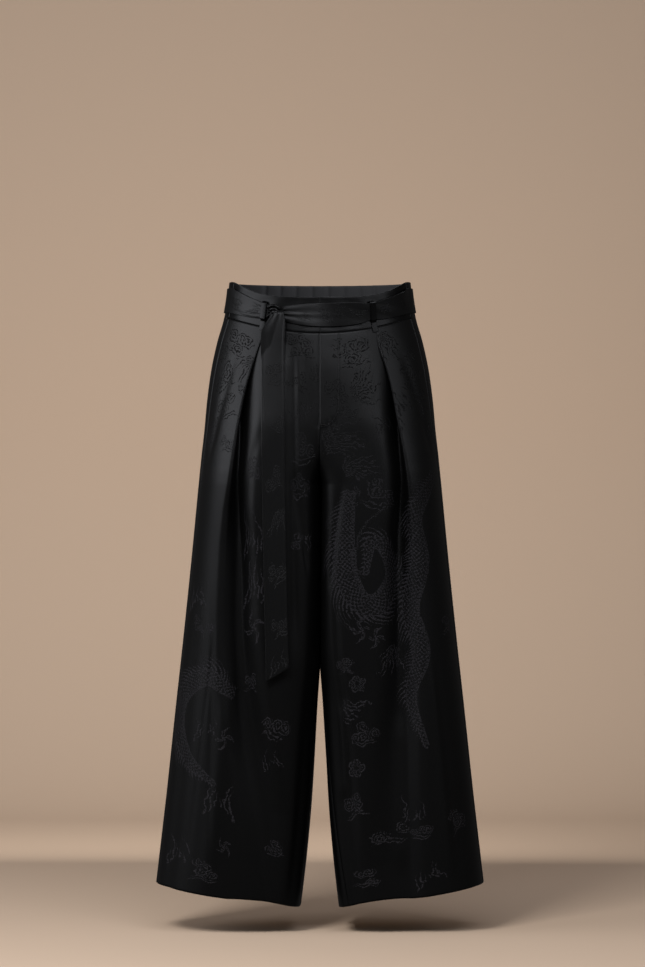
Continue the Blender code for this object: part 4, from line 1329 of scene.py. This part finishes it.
across = np.linspace(0, 1, 33)[None, :]
share = (np.linspace(0, 1, 220) ** 1.25)[:, None]
top, foot = TAILS[0].drop, TAILS[-1].drop
drop = top + (foot - top + TAIL_SLANT * (0.5 - across)) * share
left, right = read_table(TAILS, "left", drop), read_table(TAILS, "right", drop)
x = left + (right - left) * across
from_knot = drop - top
fan = 0.0007 * (1 + np.cos(4.4 * math.pi * across + 0.9)) / 2 * (1 - smooth(from_knot / 0.026))
rim = 0.0006 * (bell((across - 0.05) / 0.03) + bell((across - 0.95) / 0.03))
drift = 0.0006 * np.sin(3.1 * across + 11 * drop + 0.4) * smooth(from_knot / 0.12) + rim * smooth(from_knot / 0.02)
reach = front_reach(x, drop) + read_table(TAILS, "clear", drop) + fan + np.maximum(drift, -0.0006)
reach = np.maximum.accumulate(reach, axis=0)
tail_grid = np.stack([x, -reach, BAND_TOP - drop], axis=-1)
tail_flat = cloth_map(tail_grid)
tail = cloth_sheet("sash_tail_satin", tail_grid, SASH_JACQUARD, SASH_CLOTH, flat=tail_flat, edge=SASH_EDGE)
chart_figures(tail, tail_grid, tail_flat, "tail")
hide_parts("sash_tail")

# %% [markdown]
# The knot is cloth pulled tight into rolls that cross: one over the top, two below it, of
# which the lower goes on into the tail, two small ones that peep out beside the loop, and a
# flat one behind. Each is a flattened tube on a short curve, and together they are one piece.

# %% Knot
Roll = namedtuple("Roll", "path width depth out")
ROLLS = [  # millimetres across, up and out from the knot's middle, as it is seen
    Roll([(-9.5, 3.4), (-4.0, 7.4), (4.0, 6.8), (10.5, 1.0)], 3.0, 4.4, 2.2),
    Roll([(-8.5, -0.6), (-2.5, 2.2), (3.0, 1.0), (8.0, -4.8)], 3.3, 3.6, 1.4),
    Roll([(-4.5, -5.2), (0.5, -2.8), (4.5, -4.8), (7.5, -10.5)], 3.9, 3.6, 1.8),
    Roll([(-10.6, -3.0), (-8.7, -2.2), (-6.4, -2.8)], 1.8, 2.8, 3.4),
    Roll([(-11.2, -10.0), (-9.2, -8.2), (-6.4, -7.2)], 2.0, 2.8, 2.6),
    Roll([(-7.0, 0.0), (0.0, 1.0), (7.0, -1.0)], 7.0, 3.0, -3.0),
]
ROLL_STEPS = 22
ROLL_LANES = 18
knot_angle = waist_angle(KNOT_X, KNOT_CENTRE)
knot_centre = waist_points(knot_angle, KNOT_CENTRE, LAYER_GAP + KNOT_SIZE[1] / 2)
knot_out = knot_centre - waist_points(knot_angle, KNOT_CENTRE, 0.0)
knot_out = np.array([knot_out[0], knot_out[1], 0.0]) / math.hypot(knot_out[0], knot_out[1])
knot_across = np.array([-knot_out[1], knot_out[0], 0.0])


def in_knot(across, up, out):
    """A point of the knot, from millimetres across, up and out from its middle."""
    return knot_centre + (across * knot_across + up * np.array([0, 0, 1]) + out * knot_out) / 1000


knot_points, knot_faces = [], []
for roll in ROLLS:
    path = np.array(roll.path)
    at = np.linspace(0, 1, len(path))
    t = (1 - np.cos(np.linspace(0, math.pi, ROLL_STEPS + 1))) / 2
    bend = np.polynomial.polynomial.polyfit(at, path, len(path) - 1)
    middle = np.polynomial.polynomial.polyval(t, bend).T
    ahead = np.gradient(middle, axis=0)
    ahead /= np.linalg.norm(ahead, axis=1)[:, None]
    full = np.sqrt(np.clip(1 - (2 * t - 1) ** 2, 0, 1)) ** 0.7
    first = len(knot_points)
    for place, way, size in zip(middle[1:-1], ahead[1:-1], full[1:-1]):
        for lane in np.arange(ROLL_LANES) / ROLL_LANES * 2 * math.pi:
            side_step = math.cos(lane) * roll.width * size
            out_step = math.sin(lane) * roll.depth * size + roll.out
            x, z = place + side_step * np.array([-way[1], way[0]])
            knot_points.append(in_knot(x, z, out_step))
    knot_points += [in_knot(*place, roll.out) for place in (middle[0], middle[-1])]
    rings = ROLL_STEPS - 1
    for j in range(ROLL_LANES):
        k = (j + 1) % ROLL_LANES
        for i in range(rings - 1):
            low, high = first + i * ROLL_LANES, first + (i + 1) * ROLL_LANES
            knot_faces.append((low + j, low + k, high + k, high + j))
        last = first + (rings - 1) * ROLL_LANES
        knot_faces.append((first + rings * ROLL_LANES, first + k, first + j))
        knot_faces.append((first + rings * ROLL_LANES + 1, last + j, last + k))
knot_points = np.array(knot_points)
knot_mesh = add_mesh("sash_knot_satin", knot_points.tolist(), knot_faces)
knot_map = knot_mesh.uv_layers.new(name="cloth")
face_points = np.array([index for face in knot_faces for index in face])
knot_map.data.foreach_set("uv", knot_points[face_points][:, [0, 2]].ravel().astype(np.float32))
knot_mesh.materials.append(SATIN)
knot = add_object("sash_knot_satin", knot_mesh)
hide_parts("sash_knot")
print("knot", len(knot_faces), "faces")

# %% [markdown]
# A stitch is a short thread that dips into the cloth at both ends, about three millimetres
# long on trousers. One node group lays them along any line: the line becomes points one
# pitch apart, and each point carries a thread turned along the line.


# %% Stitches
def stitch_group():
    tree = bpy.data.node_groups.new("row of stitches", "GeometryNodeTree")
    tree.is_modifier = True
    tree.interface.new_socket("Geometry", in_out="INPUT", socket_type="NodeSocketGeometry")
    for name in ("Pitch", "Length", "Thickness"):
        tree.interface.new_socket(name, in_out="INPUT", socket_type="NodeSocketFloat")
    tree.interface.new_socket("Geometry", in_out="OUTPUT", socket_type="NodeSocketGeometry")
    given = add_node(tree, "NodeGroupInput").outputs
    line = add_node(tree, "GeometryNodeMeshToCurve", {"Mesh": given["Geometry"]})
    places = add_node(tree, "GeometryNodeCurveToPoints", {"Curve": line.outputs[0], "Length": given["Pitch"]},
                      mode="LENGTH")
    thread = add_node(tree, "GeometryNodeMeshUVSphere", {"Segments": 6, "Rings": 4, "Radius": 0.5})
    size = add_node(tree, "ShaderNodeCombineXYZ", [given["Thickness"], given["Thickness"], given["Length"]])
    turn = add_node(tree, "FunctionNodeAlignRotationToVector", {"Vector": places.outputs["Tangent"]}, axis="Z")
    laid = add_node(tree, "GeometryNodeInstanceOnPoints", {
        "Points": places.outputs["Points"], "Instance": thread.outputs[0], "Rotation": turn.outputs[0],
        "Scale": size.outputs[0]})
    real = add_node(tree, "GeometryNodeRealizeInstances", {"Geometry": laid.outputs[0]})
    finished = add_node(tree, "GeometryNodeSetMaterial", {"Geometry": real.outputs[0], "Material": THREAD})
    add_node(tree, "NodeGroupOutput", {"Geometry": finished.outputs[0]})
    return tree


STITCH_GROUP = stitch_group()
STITCH_SOCKETS = {
    item.name: item.identifier for item in STITCH_GROUP.interface.items_tree if item.in_out == "INPUT"}


def stitch_rows(name, lines, pitch=0.0030, length=0.0024, thickness=0.00045):
    """Stitches along each line of points, as one piece."""
    points = [tuple(point) for line in lines for point in line]
    edges, first = [], 0
    for line in lines:
        edges += [(first + i, first + i + 1) for i in range(len(line) - 1)]
        first += len(line)
    guide = add_object(name + "_line", add_mesh(name + "_line", points, [], edges))
    laid = guide.modifiers.new("stitches", "NODES")
    laid.node_group = STITCH_GROUP
    for socket, value in (("Pitch", pitch), ("Length", length), ("Thickness", thickness)):
        laid[STITCH_SOCKETS[socket]] = value
    found = guide.evaluated_get(bpy.context.evaluated_depsgraph_get())
    finished = bpy.data.meshes.new_from_object(found)
    finished.name = name
    bpy.data.objects.remove(guide)
    finished.shade_smooth()
    print(name, len(finished.polygons), "faces")
    return add_object(name, finished)


def on_panel(points, drop, distance, lift):
    """A point on a panel's outer face at a distance from its centre seam."""
    index = float(np.interp(drop, ROW_DROPS, np.arange(len(ROW_DROPS))))
    low = min(int(index), len(points) - 2)
    row = points[low] + (points[low + 1] - points[low]) * (index - low)
    row = row[WALL_STEPS:WALL_STEPS + INNER_STEPS]
    walked = np.concatenate(([0], np.cumsum(np.linalg.norm(np.diff(row, axis=0), axis=1))))
    place = np.array([np.interp(distance, walked, row[:, k]) for k in (0, 1, 2)])
    return place + np.array([0, -PANEL_CLOTH / 2 - lift, 0])


def off_waist(line, lift):
    """A line of points moved out from the waist."""
    line = np.array(line)
    out = line[:, :2] * np.array([0.48, 1.0])
    line[:, :2] += lift * out / np.linalg.norm(out, axis=1)[:, None]
    return line


STITCH_INSET = 0.0016
fly_line = [on_panel(grids["front_left"], drop, FLY_WIDTH - STITCH_INSET, 0.0001)
            for drop in np.linspace(BAND_HEIGHT + 0.003, FLY_STRAIGHT, 60)]
fly_line += [on_panel(grids["front_left"], FLY_STRAIGHT + (FLY_END - FLY_STRAIGHT) * math.sin(turn),
                      (FLY_WIDTH - STITCH_INSET) * math.cos(turn), 0.0001) for turn in np.linspace(0.05, 1.50, 30)]
bar_tack = [on_panel(grids["front_left"], FLY_END - 0.0040 + 0.0006 * (step % 2), 0.0015 + 0.0004 * step, 0.0002)
            for step in range(18)]
fly_stitches = stitch_rows("fly_stitches", [fly_line])
tack_stitches = stitch_rows("fly_bar_tack", [bar_tack], 0.0008, 0.0011, 0.0005)
loop_stitches = {}
for name, grid in loop_grids.items():
    rows = [off_waist(grid[i, 1:-1], LOOP_CLOTH / 2 + 0.0001) for i in (2, 3, -4, -3)]
    loop_stitches[name] = stitch_rows(name + "_tacks", rows, 0.0009, 0.0010, 0.0004)

# %% [markdown]
# Every piece rides the one body. Each sheet's cut is measured along the cloth, and its name is
# printed with how it is held and what it rests on.

# %% Attaching the pieces
SMALLEST_WIDTH = 0.010
for piece in [*panels.values(), *(band for band, points in bands.values()), fly, *loops.values(), fly_stitches,
              tack_stitches, *loop_stitches.values()]:
    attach(piece, "root")
for piece in (sash, tail, knot):
    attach(piece, "root")


def declare(piece, points, held, rests_on=()):
    """The cut of a sheet, measured along the cloth."""
    width, length, area = cut_size(points)
    # a loop is narrower than the smallest sheet that can be named
    area *= max(1.0, SMALLEST_WIDTH / width)  # a loop is narrower than the smallest width counted here
    width = max(width, SMALLEST_WIDTH)
    print(piece.name, held, *rests_on)


for panel, piece in panels.items():
    band = "waistband_" + (panel if panel.startswith("front") else "back")
    declare(piece, grids[panel], "hung" if panel.startswith("front") else "gathered", [band])
for part, (piece, points) in bands.items():
    declare(piece, points, "gathered" if part == "back" else "stretched")
declare(fly, fly_points, "hung", ["waistband_front_left"])
for name, piece in loops.items():
    declare(piece, loop_grids[name], "stretched", ["waistband_" + ("back" if "back" in name else name[10:])])
declare(sash, sash_grid, "stretched", ["waistband_front_left", "waistband_front_right", "waistband_back"])
declare(tail, tail_grid, "hung", ["sash_knot"])

# The box behind lights the cloth alone, so that the back reads and the paper stays as it is.
lit_from_behind = bpy.data.collections.new("lit from behind")
for piece in bpy.context.scene.objects:
    if piece.type == "MESH" and piece != paper:
        lit_from_behind.objects.link(piece)
back_box.light_linking.receiver_collection = lit_from_behind

import json
